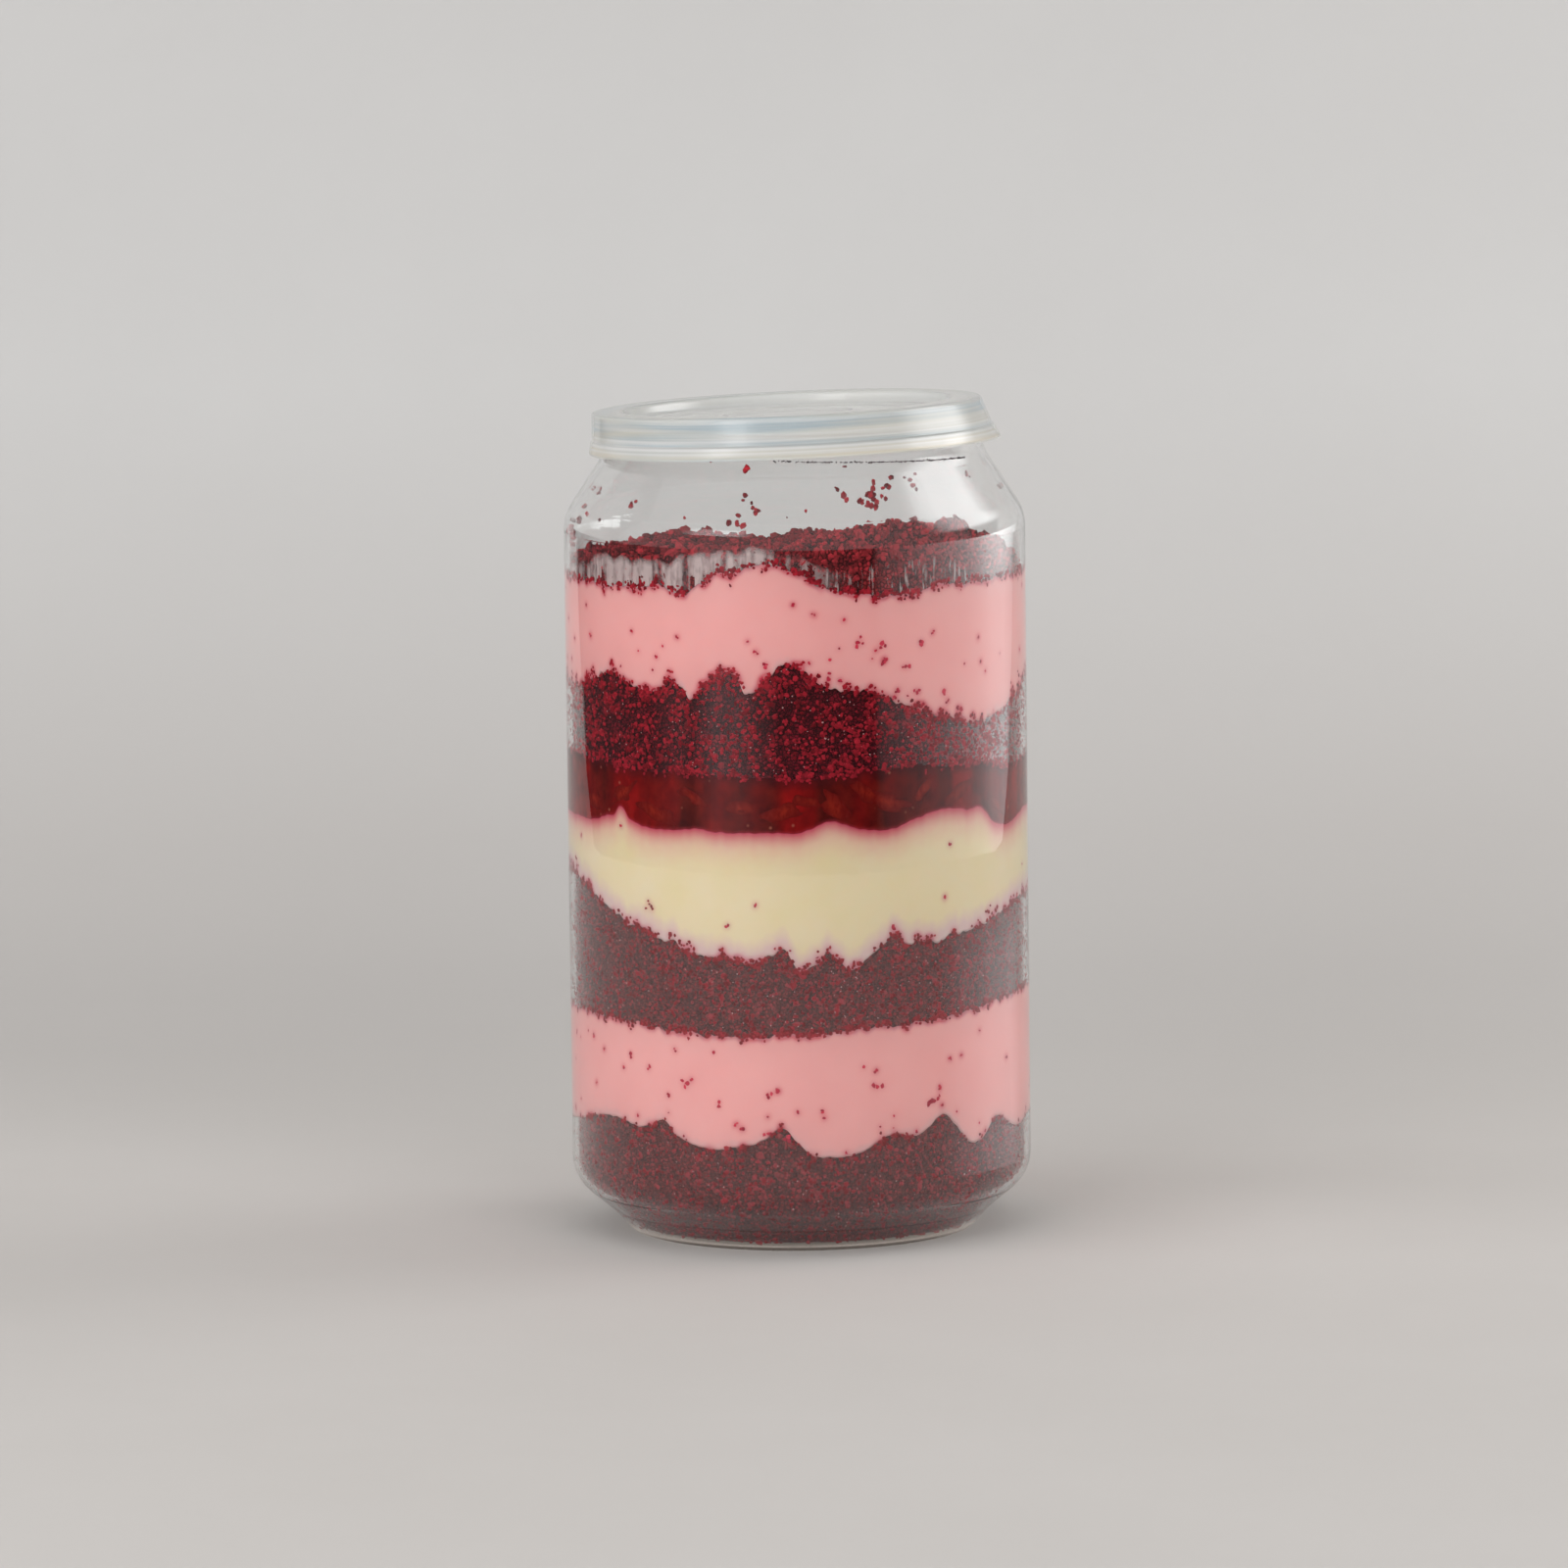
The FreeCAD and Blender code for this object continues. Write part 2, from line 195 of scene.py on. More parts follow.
def border_height(name, x, y):
    """The height of the top of a layer above any point inside the can."""
    level, swells = BORDERS[name]
    direction = direction_of(x, y)
    share = numpy.minimum(numpy.hypot(x, y) / INSIDE, 1.0)
    fade = share * share * (3 - 2 * share)
    smooth = (level + swells_at(direction, swells) * fade) * FILL / 100
    return smooth + ragged(name, direction) * fade ** 4 * MM


def floor_height(x, y):
    return numpy.maximum(numpy.interp(numpy.hypot(x, y), FLOOR_RADII, FLOOR_HEIGHTS), BRIDGE)


def underside_of(name):
    """What a layer lies on: another layer's top, or the can's floor."""
    return (lambda x, y: border_height(name, x, y)) if name else floor_height


for layer_name in BORDERS:
    at_front = float(border_height(layer_name, 0.0, -INSIDE))
    print(layer_name, "top at the front:", round(1000 * at_front, 1), "mm")

# %% [markdown]
# ## Rolling a layer
# A layer of food in a can is a thick disc. It could be turned on a lathe with the spin operator,
# but every vertex is to be placed by the borders anyway, so a flat grid is quicker: its width is
# rolled round the axis, and its height runs from the middle of the underside, out to the wall, up
# the wall, and back to the middle of the top. The seam and the two poles are then welded.

# %% Roll a grid into a layer
def in_scene(name, shape):
    """Turns a bmesh into a piece of the scene."""
    mesh = bpy.data.meshes.new(name)
    shape.to_mesh(mesh)
    shape.free()
    piece = bpy.data.objects.new(name, mesh)
    bpy.context.scene.collection.objects.link(piece)
    return piece


def corners(piece):
    """The piece's vertices as an array of x, y, z."""
    flat = numpy.empty(len(piece.data.vertices) * 3)
    piece.data.vertices.foreach_get("co", flat)
    return flat.reshape(-1, 3)


def move_corners(piece, place):
    piece.data.vertices.foreach_set("co", numpy.asarray(place).ravel())


def weld(shape):
    bmesh.ops.remove_doubles(shape, verts=shape.verts, dist=WELD)
    bmesh.ops.recalc_face_normals(shape, faces=shape.faces)


def note_on_vertices(piece, name, values):
    """Keeps one number per vertex, for a material to read."""
    layer = piece.data.attributes.new(name, "FLOAT", "POINT")
    layer.data.foreach_set("value", numpy.ascontiguousarray(values, dtype=numpy.float32))


def report(piece):
    print(f"{piece.name}: {sum(len(p.vertices) - 2 for p in piece.data.polygons)} triangles")


def roll_layer(name, columns, disc_rows, side_rows, underside, topside, wall,
        foot_radius=INSIDE, top_rows=None):
    """underside and topside give a height for x and y; wall gives a radius for a height."""
    top_rows = top_rows or disc_rows
    sheet = bmesh.new()
    row_count = disc_rows + side_rows + top_rows
    bmesh.ops.create_grid(sheet, x_segments=columns, y_segments=row_count, size=0.5)
    piece = in_scene(name, sheet)
    flat = corners(piece)
    turn = numpy.rint((flat[:, 0] + 0.5) * columns) % columns * (2 * math.pi / columns)
    row = numpy.rint((flat[:, 1] + 0.5) * row_count)
    under_rows = row < disc_rows
    over_rows = row > disc_rows + side_rows
    below = numpy.clip(row / disc_rows, 0, 1)
    up = numpy.clip((row - disc_rows) / side_rows, 0, 1)
    above = numpy.clip((row - disc_rows - side_rows) / top_rows, 0, 1)
    sine, cosine = numpy.sin(turn), -numpy.cos(turn)
    low = underside(sine * foot_radius, cosine * foot_radius)
    high = topside(sine * INSIDE, cosine * INSIDE)
    height = low + (high - low) * up
    radius = numpy.where(under_rows, below * wall(low), wall(height))
    radius = numpy.where(over_rows, (1 - above) * wall(high), radius)
    x, y = sine * radius, cosine * radius
    z = numpy.where(under_rows, underside(x, y), numpy.where(over_rows, topside(x, y), height))
    move_corners(piece, numpy.stack([x, y, z], axis=1))
    rolled = bmesh.new()
    rolled.from_mesh(piece.data)
    weld(rolled)
    rolled.to_mesh(piece.data)
    rolled.free()
    return piece


# %% [markdown]
# ## The creams, the custard and the jam
# Soft food presses flat against the wall, with no air behind it. So each of these layers reaches
# just into the plastic, and its beauty is in its borders. Each vertex also notes how far it is
# above the layer's lower border and below its upper one, in millimetres, so that the colour can
# bleed in from the crumbs and from the jam.

# %% Roll the soft layers
SOFT_LAYERS = {"cream_pink_lower": "crumb_bottom", "custard": "crumb_middle", "jam": "custard",
    "cream_pink_upper": "crumb_upper"}
COLUMNS, SIDE_ROWS, DISC_ROWS = 720, 44, 8
SOFT = {}
for layer_name, layer_under in SOFT_LAYERS.items():
    under, over = underside_of(layer_under), underside_of(layer_name)
    soft = roll_layer(layer_name + "_filling", COLUMNS, DISC_ROWS, SIDE_ROWS, under, over,
        lambda height: inside_radius(height) + INTO_WALL)
    x, y, z = corners(soft).T
    note_on_vertices(soft, "above", (z - under(x, y)) / MM)
    note_on_vertices(soft, "below", (over(x, y) - z) / MM)
    soft.data.shade_smooth()
    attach(soft, "root")
    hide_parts(layer_name)
    report(soft)
    SOFT[layer_name] = soft

# %% [markdown]
# ## The crumb
# Crumb stands against the wall grain by grain, and between the grains there is air, which shows
# grey through the plastic. One solid block with a picture of crumbs on it would miss that. So each
# crumb layer is a core, held a little back from the wall and pitted by a cell pattern, and thousands
# of separate grains that press on the plastic in front of it.

# %% Roll the crumb cores
def pitted(x, y, z, cell):
    """0 in the cracks between cells of about that size, 1 in their middles."""
    out = numpy.empty(len(x))
    for i, point in enumerate(zip(x / cell, y / cell, z / cell)):
        near = noise.voronoi(point)[0]
        out[i] = min(1.0, (near[1] - near[0]) * 2.2)
    return out


def push_in(place, which, depth):
    """Moves the chosen corners towards the axis."""
    radius = numpy.maximum(numpy.hypot(place[:, 0], place[:, 1]), 1e-9)
    for axis in (0, 1):
        place[which, axis] -= (place[:, axis] / radius * depth)[which]


def roughen(piece, clump, grain):
    """Pits the side and the edge of a core: broad clumps first, then grains."""
    place = corners(piece)
    x, y, z = place.T
    side = numpy.hypot(x, y) > inside_radius(z) - 1.3 * MM
    depth = clump * (1 - pitted(x, y, z, 2.6 * MM)) + grain * (1 - pitted(x, y, z, 0.85 * MM))
    push_in(place, side, depth)
    move_corners(piece, place)
    # The depth is kept for the finish, which paints deeper pits darker as painted shade.
    note_on_vertices(piece, "pit_shade_depth", depth / MM)


CRUMB_LAYERS = {"crumb_bottom": None, "crumb_middle": "cream_pink_lower", "crumb_upper": "jam"}
CRUMB = {}
for layer_name, layer_under in CRUMB_LAYERS.items():
    disc_rows, side_rows = (DISC_ROWS, SIDE_ROWS) if layer_under else (24, 58)
    core = roll_layer(layer_name + "_core", COLUMNS, disc_rows, side_rows, underside_of(layer_under),
        underside_of(layer_name), lambda height: inside_radius(height) - 0.02 * MM,
        foot_radius=INSIDE if layer_under else FLOOR_RADII[TROUGH], top_rows=DISC_ROWS)
    roughen(core, 0.22 * MM, 0.26 * MM)
    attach(core, "root")
    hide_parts(layer_name)
    report(core)
    CRUMB[layer_name] = core

# %% [markdown]
# ## The topping
# The last crumbs were shaken on, so they lie in a loose heap. Low down its side stands a little off
# the wall, in upright furrows where it slid; higher up, round clumps lean on the plastic. Its top is
# clumps as well. The heap's level is a slope with mounds and dips on it, given as shares of the
# inner radius to the right and to the back.

# %% Heap up the topping
TOPPING_LEVEL, TOPPING_FALL = 97.4, 2.2
TOPPING_MOUNDS = ((-0.66, -0.80, 0.42, -1.3), (0.55, -0.80, 0.50, 3.3), (0.40, 0.60, 0.60, -2.0),
    (0.80, -0.36, 0.20, 0.2), (-0.52, -0.34, 0.28, 2.5), (0.02, -0.34, 0.18, 1.3),
    (-0.95, -0.30, 0.26, -2.4), (0.0, 0.42, 0.34, 0.8), (-0.95, 0.35, 0.32, -2.5), (1.0, 0.0, 0.36, -4.4))
FURROW_SHIFTS = chance(7).uniform(0, 360, 6)
CLUMP, SMALL_CLUMP, GRAIN = 3.3 * MM, 1.7 * MM, 0.95 * MM


def topping_height(x, y):
    right, back = x / INSIDE, y / INSIDE
    height = TOPPING_LEVEL - TOPPING_FALL * back
    for middle_right, middle_back, radius, rise in TOPPING_MOUNDS:
        away = (right - middle_right) ** 2 + (back - middle_back) ** 2
        height = height + rise * numpy.exp(-away / radius ** 2)
    return height * FILL / 100


def heap_top(x, y):
    """The heap's top, with an uneven rim along the wall."""
    uneven = waves(direction_of(x, y), (11, 19, 31, 47, 73, 109), 2 * FURROW_SHIFTS)
    rim = 0.26 * MM * uneven * numpy.minimum(numpy.hypot(x, y) / INSIDE, 1.0) ** 8
    return numpy.maximum(topping_height(x, y) + rim, border_height("cream_pink_upper", x, y) + 0.3 * MM)


def domes(x, y, z, cell):
    """Round lumps side by side: 1 on the crown of each, 0 in the creases between them."""
    return numpy.array([math.sqrt(max(0.0, 1 - (noise.voronoi(point)[0][0] / 0.8) ** 2))
                        for point in zip(x / cell, y / cell, z / cell)])


heap = roll_layer("crumb_top_heap", 600, DISC_ROWS, 30, underside_of("cream_pink_upper"), heap_top,
    lambda height: inside_radius(height) - 0.06 * MM, top_rows=96)
place = corners(heap)
x, y, z = place.T
foot = border_height("cream_pink_upper", x, y)
share = (z - foot) / numpy.maximum(heap_top(x, y) - foot, 0.1 * MM)
on_top = z > heap_top(x, y) - 0.02 * MM
clumps = 0.65 * domes(x, y, z, CLUMP) + 0.35 * domes(x, y, z, SMALL_CLUMP)
grains = pitted(x, y, z, GRAIN)
lumps = numpy.array([noise.fractal(Vector(p) / (4.0 * MM), 0.9, 2.1, 4) for p in place])
lift = (1.6 * (clumps - 0.62) + 0.7 * lumps + 0.30 * (grains - 0.5)) * MM
edge = numpy.clip((share - 0.72) / 0.28, 0, 1) ** 2
place[:, 2] += lift * numpy.where(on_top, 1.0, edge)
furrow = waves(direction_of(x, y), (23, 37, 53, 71, 97, 131), FURROW_SHIFTS)
leaning = numpy.clip((share - 0.30 + 0.05 * furrow) * 4, 0, 1)
clumps_in = 1.25 * (1 - clumps) + 0.30 * (1 - grains)
furrows_in = numpy.maximum(0.10 + 0.12 * furrow + 0.15 * (1 - grains), -0.04)
inward = leaning * clumps_in + (1 - leaning) * furrows_in
push_in(place, (numpy.hypot(x, y) > 25 * MM) & ~on_top & (share > 0.01), inward * MM)
move_corners(heap, place)
# Painted shade: the creases between clumps on top, and the side where it is pushed in furthest, are noted
# so that the finish paints them darker.
creases = numpy.clip(0.62 - clumps, 0, 1) + 0.25 * (1 - grains)
note_on_vertices(heap, "pit_shade_depth", numpy.where(on_top, creases, 0.45 * inward))
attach(heap, "root")
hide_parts("crumb_top")
report(heap)

# %% [markdown]
# ## Grains
# One grain of cake crumb is a rough little lump. There are thousands, so each may have only a few
# faces: an icosphere of twenty triangles with its corners pushed about. Making thousands one by
# one is slow. One grain is doubled, and the pair is doubled, and so on until there are enough, and
# then each copy is turned, stretched and carried to its place.

# %% Sow grains
GRAIN_CORNERS = 12


def sow(name, middles, sizes, seed, flatness=1.0, facing=None):
    """One mesh of grains, each at its middle. Along facing, a grain is only flatness times as thick."""
    dice = chance(seed)
    count = len(middles)
    bed = bmesh.new()
    bmesh.ops.create_icosphere(bed, subdivisions=1, radius=1.0)
    while len(bed.verts) < GRAIN_CORNERS * count:
        bmesh.ops.duplicate(bed, geom=bed.verts[:] + bed.edges[:] + bed.faces[:])
    bed.verts.ensure_lookup_table()
    bmesh.ops.delete(bed, geom=bed.verts[GRAIN_CORNERS * count:], context="VERTS")
    piece = in_scene(name, bed)
    lump = corners(piece).reshape(count, GRAIN_CORNERS, 3)
    lump = lump * dice.uniform(0.72, 1.28, (count, GRAIN_CORNERS, 1))
    spin = numpy.linalg.qr(dice.normal(size=(count, 3, 3)))[0]
    spin[numpy.linalg.det(spin) < 0, 0] *= -1
    lump = numpy.einsum("nij,nkj->nki", spin, lump) * dice.uniform(0.75, 1.25, (count, 1, 3))
    lump = lump * numpy.asarray(sizes)[:, None, None]
    if facing is not None:
        along = numpy.einsum("nki,ni->nk", lump, facing)[:, :, None] * facing[:, None, :]
        lump = lump - along * (1 - numpy.asarray(flatness).reshape(-1, 1, 1))
    move_corners(piece, lump + numpy.asarray(middles)[:, None, :])
    note_on_vertices(piece, "tone", numpy.repeat(dice.uniform(0, 1, count), GRAIN_CORNERS))
    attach(piece, "root")
    report(piece)
    return piece


def on_wall(direction, height, depth):
    """Points that far inside the wall, and the way out from the axis at each of them."""
    out = numpy.stack([*at_wall(direction, 1.0), numpy.zeros_like(direction)], axis=1)
    middles = out * (inside_radius(height) - depth)[:, None]
    middles[:, 2] = height
    return middles, out


def sizes_near(dice, usual, spread, count, smallest, largest):
    """Sizes of grains: most near the usual one, none outside the two limits, all in millimetres."""
    return dice.lognormal(math.log(usual), spread, count).clip(smallest, largest) * MM


# %% [markdown]
# ### Grains on the wall
# Grains stick together in families. Most press on the plastic somewhere inside their layer, and
# some hang just behind it. Along the borders more of them stray: they stick in the edge of the
# cream, thickest at the line and thinning out over the first millimetre. They are flattened
# against the wall like anything soft that is pushed at a window.

# %% Press grains on the wall
PROUD = 0.12 * MM            # how far a grain may press into the plastic: a little more than cream does
IN_CREAM = []                # where grains touch cream, for the stains
CRUMB_FAMILIES = {    # how many families, the most grains in one, its spread and a grain's usual size in mm
    "crumb_bottom": (2500, 5, 0.70, 0.215), "crumb_middle": (2500, 5, 0.70, 0.215),
    "crumb_upper": (1680, 8, 0.55, 0.265)}
LOOSE = {    # the share of families that hang just behind the plastic
    "crumb_bottom": 0.5, "crumb_middle": 0.2, "crumb_upper": 0.15}
STRAYS = {    # how many families, the most grains in one, its spread and its reach into the cream in mm
    "crumb_bottom": (110, 5, 0.32, 0.24), "crumb_middle": (280, 7, 0.34, 0.42),
    "crumb_upper": (300, 8, 0.36, 0.46)}
UNDER_STRAYS = (360, 5, 0.26, 0.16)
WALL_GRAINS = {}


def families(dice, count, most, spread):
    """Grains that stick together: which family each belongs to, and how far it lies from its middle."""
    members = dice.integers(1, most + 1, count)
    owner = numpy.repeat(numpy.arange(count), members)
    return owner, dice.normal(0, spread, (2, len(owner))) * MM


def along_border(dice, name, count, most, spread, reach, upward):
    """Families of grains along a border. They stray up to a few times reach beyond it, in millimetres."""
    owner, (aside, lift) = families(dice, count, most, spread)
    direction = dice.uniform(-180, 180, count)[owner] + numpy.degrees(aside / INSIDE)
    drift = (dice.exponential(reach, count)[owner] - 0.35) * MM
    return direction, border_height(name, *at_wall(direction)) + (drift if upward else -drift) + lift


for number, (layer_name, layer_under) in enumerate(CRUMB_LAYERS.items()):
    dice = chance(20 + number)
    how_many, most, spread, usual = CRUMB_FAMILIES[layer_name]
    owner, (aside, lift) = families(dice, how_many, most, spread)
    direction = dice.uniform(-180, 180, how_many)[owner] + numpy.degrees(aside / INSIDE)
    edge_x, edge_y = at_wall(direction)
    high = border_height(layer_name, edge_x, edge_y) - 0.1 * MM
    low = border_height(layer_under, edge_x, edge_y) if layer_under else numpy.full(len(owner), BRIDGE)
    share = dice.uniform(0, 1, how_many)[owner] ** (1.0 if layer_under else 0.9)
    height = numpy.clip(low + (high - low) * share + lift, low, high)
    size = sizes_near(dice, usual, 0.32, len(owner), 0.12, 0.6)
    depth = dice.uniform(-0.02, 0.13, len(owner)) * MM
    flat = dice.uniform(0.35, 0.8, len(owner))
    loose = (dice.uniform(0, 1, how_many) < LOOSE[layer_name])[owner]
    depth = numpy.where(loose, size * flat + dice.uniform(0.01, 0.10, len(owner)) * MM, depth)
    strays = [along_border(dice, layer_name, *STRAYS[layer_name], True)]
    if layer_under:
        strays.append(along_border(dice, layer_under, *UNDER_STRAYS, False))
    for stray_direction, stray_height in strays:
        more = len(stray_direction)
        direction = numpy.append(direction, stray_direction)
        height = numpy.append(height, stray_height)
        size = numpy.append(size, sizes_near(dice, 0.29, 0.25, more, 0.15, 0.5))
        depth = numpy.append(depth, numpy.full(more, -PROUD))
        flat = numpy.append(flat, numpy.full(more, 0.38))
    middles, out = on_wall(direction, height, numpy.maximum(depth, size * flat - PROUD))
    IN_CREAM.extend(middles[len(owner):])
    WALL_GRAINS[layer_name] = sow(layer_name + "_grains", middles, size, 30 + number, flat, out)

# %% [markdown]
# ### Grains on the heap
# Loose grains lie all over the topping. A ray shot down at the heap finds where each comes to rest,
# and those that would stick out through the wall are left out.

# %% Scatter grains on the heap
TOP_GRAINS = 7500
dice = chance(60)
heap_tree = wall_tree(heap)
spread = numpy.sqrt(dice.uniform(0, 1, TOP_GRAINS)) * (INSIDE - 0.9 * MM)
around = dice.uniform(0, 2 * math.pi, TOP_GRAINS)
middles, sizes = [], []
for r, a in zip(spread, around):
    size = min(max(dice.lognormal(math.log(0.29), 0.40), 0.16), 0.8) * MM
    above_heap = Vector((r * math.sin(a), -r * math.cos(a), 112 * MM))
    hit = heap_tree.ray_cast(above_heap, Vector((0, 0, -1)))[0]
    if hit and r < inside_radius(hit.z) - 0.05 * MM - size:
        middles.append(hit + Vector((0, 0, 0.2 * size)))
        sizes.append(size)
heap_grains = sow("crumb_top_grains", [m[:] for m in middles], sizes, 61)

# %% [markdown]
# ### Grains on the heap's side and round its foot
# More grains cling to the heap's side, which is found by rays that run from the wall inwards. Few
# cling at the front left, where a film hides the side. Round the foot the last of them stick in the
# cream under it.

# %% Hang grains on the heap's side
SIDE_GRAINS = 6200


def heap_behind(direction, height):
    """How far inside the wall the heap's side lies there, or nothing where a line inwards misses it."""
    away = math.radians(direction)
    start = 0.3 * MM
    outside = Vector((math.sin(away), -math.cos(away), 0)) * (float(inside_radius(height)) + start)
    far = heap_tree.ray_cast(outside + Vector((0, 0, height)), -outside, 4.0 * MM)[3]
    return far - start if far else None


at_left = dice.uniform(0, 1, SIDE_GRAINS) < 0.10
direction = numpy.where(at_left, dice.uniform(-75, -5, SIDE_GRAINS), dice.uniform(-5, 285, SIDE_GRAINS))
low = border_height("cream_pink_upper", *at_wall(direction))
rim = heap_top(*at_wall(direction, 0.97 * INSIDE)) + 1.2 * MM
height = low + (rim - low) * dice.uniform(0.12, 1.0, SIDE_GRAINS) ** 0.7
sizes = sizes_near(dice, 0.26, 0.34, SIDE_GRAINS, 0.13, 0.6)
found = [heap_behind(d, h) for d, h in zip(direction, height)]
kept = numpy.array([b is not None for b in found])
behind = numpy.array([b or 0.0 for b in found])[kept]
direction, height, sizes = direction[kept], height[kept], sizes[kept]
middles, out = on_wall(direction, height, numpy.maximum(behind - 0.25 * sizes, 0.75 * sizes + 0.02 * MM))
side_grains = sow("crumb_top_side_grains", middles, sizes, 63, 0.75, out)

direction, height = along_border(dice, "cream_pink_upper", 460, 5, 0.32, 0.2, False)
sizes = sizes_near(dice, 0.29, 0.28, len(direction), 0.15, 0.6)
flat = dice.uniform(0.35, 0.6, len(direction))
middles, out = on_wall(direction, height, sizes * flat - PROUD)
IN_CREAM.extend(middles)
foot_grains = sow("crumb_top_edge_grains", middles, sizes, 62, flat, out)

# %% [markdown]
# ### Stray specks
# A few crumbs stick in the creams, and some were left on the inside of the shoulder when the
# topping went in. They are few, so each is listed one by one: a direction in degrees, a height
# and a size in millimetres, and how many grains stick together there. Finer dust lies between
# them. A line of it has caught on the neck, painted nearly black as painted shade under the lid.

# %% Stick specks in the creams and on the shoulder
CREAM_SPECKS = ((-48.1, 28.1, 0.42, 2), (-41.4, 26.5, 0.34, 1), (-30.4, 24.9, 0.36, 2),
    (-35.2, 23.1, 0.28, 1), (-20.9, 22.1, 0.30, 1), (-6.9, 24.0, 0.42, 4), (18.9, 24.6, 0.38, 3),
    (35.2, 22.0, 0.46, 4), (-14.9, 18.8, 0.30, 2), (-8.0, 18.2, 0.30, 2), (-3.3, 17.4, 0.34, 2),
    (5.0, 21.3, 0.22, 1), (5.8, 20.2, 0.20, 1), (15.9, 87.7, 0.40, 3), (22.0, 87.0, 0.32, 2),
    (22.3, 85.1, 0.34, 2), (32.8, 87.4, 0.34, 2), (7.8, 83.0, 0.32, 2), (25.7, 80.3, 0.30, 2),
    (31.8, 80.2, 0.34, 3), (39.7, 79.9, 0.36, 2), (44.5, 77.3, 0.34, 3), (29.0, 83.6, 0.24, 1),
    (-50.6, 60.7, 0.26, 1), (-70.1, 58.2, 0.26, 1), (-18.1, 47.4, 0.26, 1), (-10.9, 50.6, 0.26, 1),
    (23.9, 47.0, 0.30, 2), (41.1, 58.0, 0.24, 1), (112, 25, 0.34, 2), (150, 28, 0.30, 3),
    (195, 22, 0.36, 2), (228, 27, 0.30, 2), (131, 86, 0.34, 3), (172, 90, 0.30, 2), (214, 84, 0.36, 3),
    (251, 88, 0.30, 2), (95, 82, 0.28, 2))
SHOULDER_SPECKS = ((-13.5, 111.9, 0.50, 3), (-49.2, 106.1, 0.42, 3), (-14.5, 107.8, 0.36, 2),
    (-10.3, 106.6, 0.46, 6), (-15.4, 104.6, 0.50, 5), (-74.0, 104.6, 0.40, 4), (-68.0, 103.9, 0.34, 3),
    (-72.0, 102.9, 0.40, 4), (-60.0, 103.6, 0.34, 1), (14.2, 107.8, 0.44, 2), (22.5, 107.3, 0.50, 11),
    (20.0, 106.8, 0.42, 5), (29.8, 110.0, 0.40, 2), (34.0, 109.8, 0.38, 1), (38.1, 110.2, 0.36, 1),
    (36.5, 108.7, 0.44, 3), (27.0, 108.6, 0.44, 3), (23.0, 109.4, 0.44, 2), (18.4, 107.2, 0.44, 3),
    (25.6, 107.6, 0.36, 3), (3.0, 106.0, 0.26, 1), (-30.0, 104.9, 0.26, 1), (12.0, 108.9, 0.34, 2),
    (-2.0, 105.2, 0.24, 1), (120, 107, 0.4, 3), (165, 106, 0.4, 2), (205, 108, 0.36, 2),
    (250, 105.5, 0.4, 4), (285, 107, 0.34, 2), (80, 106.5, 0.4, 3), (-78, 102.2, 0.44, 5),
    (-80, 101.2, 0.44, 5), (-75, 100.4, 0.42, 5), (-82, 100.2, 0.44, 4))
DUST = (("cream_pink_lower", "crumb_bottom", 90), ("cream_pink_upper", "crumb_upper", 110),
    ("custard", "crumb_middle", 12))
SPECK_FLAT, SHOULDER_FLAT, NECK_DUST_AND_SHADE = 0.34, 0.75, 300
BOLDER = 1.35                # smeared in cream, a speck looks this much larger
MM_A_DEGREE = 0.563          # along the wall


def clustered(specks, seed):
    """The directions, heights and sizes of all the grains in the specks."""
    dice = chance(seed)
    directions, heights, sizes = [], [], []
    for direction, height, size, grains_in_it in specks:
        for _ in range(grains_in_it):
            away = size * 0.42 * grains_in_it ** 0.45 if grains_in_it > 1 else 0.0
            directions.append(direction + dice.normal(0, away) / MM_A_DEGREE)
            heights.append((height + dice.normal(0, away)) * MM)
            sizes.append(size * dice.uniform(0.6, 1.0) * MM)
    return numpy.array(directions), numpy.array(heights), numpy.array(sizes)


dice = chance(69)
dust = []
for layer_name, layer_under, how_many in DUST:
    for direction in dice.uniform(-180, 180, how_many):
        spot = at_wall(direction)
        low, high = (float(border_height(name, *spot)) / MM for name in (layer_under, layer_name))
        height = low + (high - low) * dice.uniform(0.06, 0.92) ** 1.5
        dust.append((direction, height, dice.uniform(0.16, 0.30), int(dice.integers(1, 4))))
specks = [(d, h, BOLDER * size, n + 1) for d, h, size, n in CREAM_SPECKS] + dust
directions, heights, sizes = clustered(specks, 70)
middles, out = on_wall(directions, heights, SPECK_FLAT * sizes - PROUD)
IN_CREAM.extend(middles)
cream_specks = sow("cream_specks", middles, sizes, 71, SPECK_FLAT, out)

directions, heights, sizes = clustered(SHOULDER_SPECKS, 72)
middles, out = on_wall(directions, heights, 0.5 * sizes)
shoulder_specks = sow("shoulder_crumbs", middles, sizes, 73, SHOULDER_FLAT, out)

# Painted shade: a line of dust along the neck, coloured nearly black to stand in for the shade under the
# lid's skirt.
direction = dice.uniform(-6, 62, NECK_DUST_AND_SHADE)
height = (112.9 - 1.1 * (direction + 2) / 64 + dice.normal(0, 0.05, NECK_DUST_AND_SHADE)) * MM
sizes = dice.uniform(0.06, 0.12, NECK_DUST_AND_SHADE) * MM
middles, out = on_wall(direction, height, 0.5 * sizes)
neck_dust_and_shade = sow("neck_dust_and_shade", middles, sizes, 74, SHOULDER_FLAT, out)
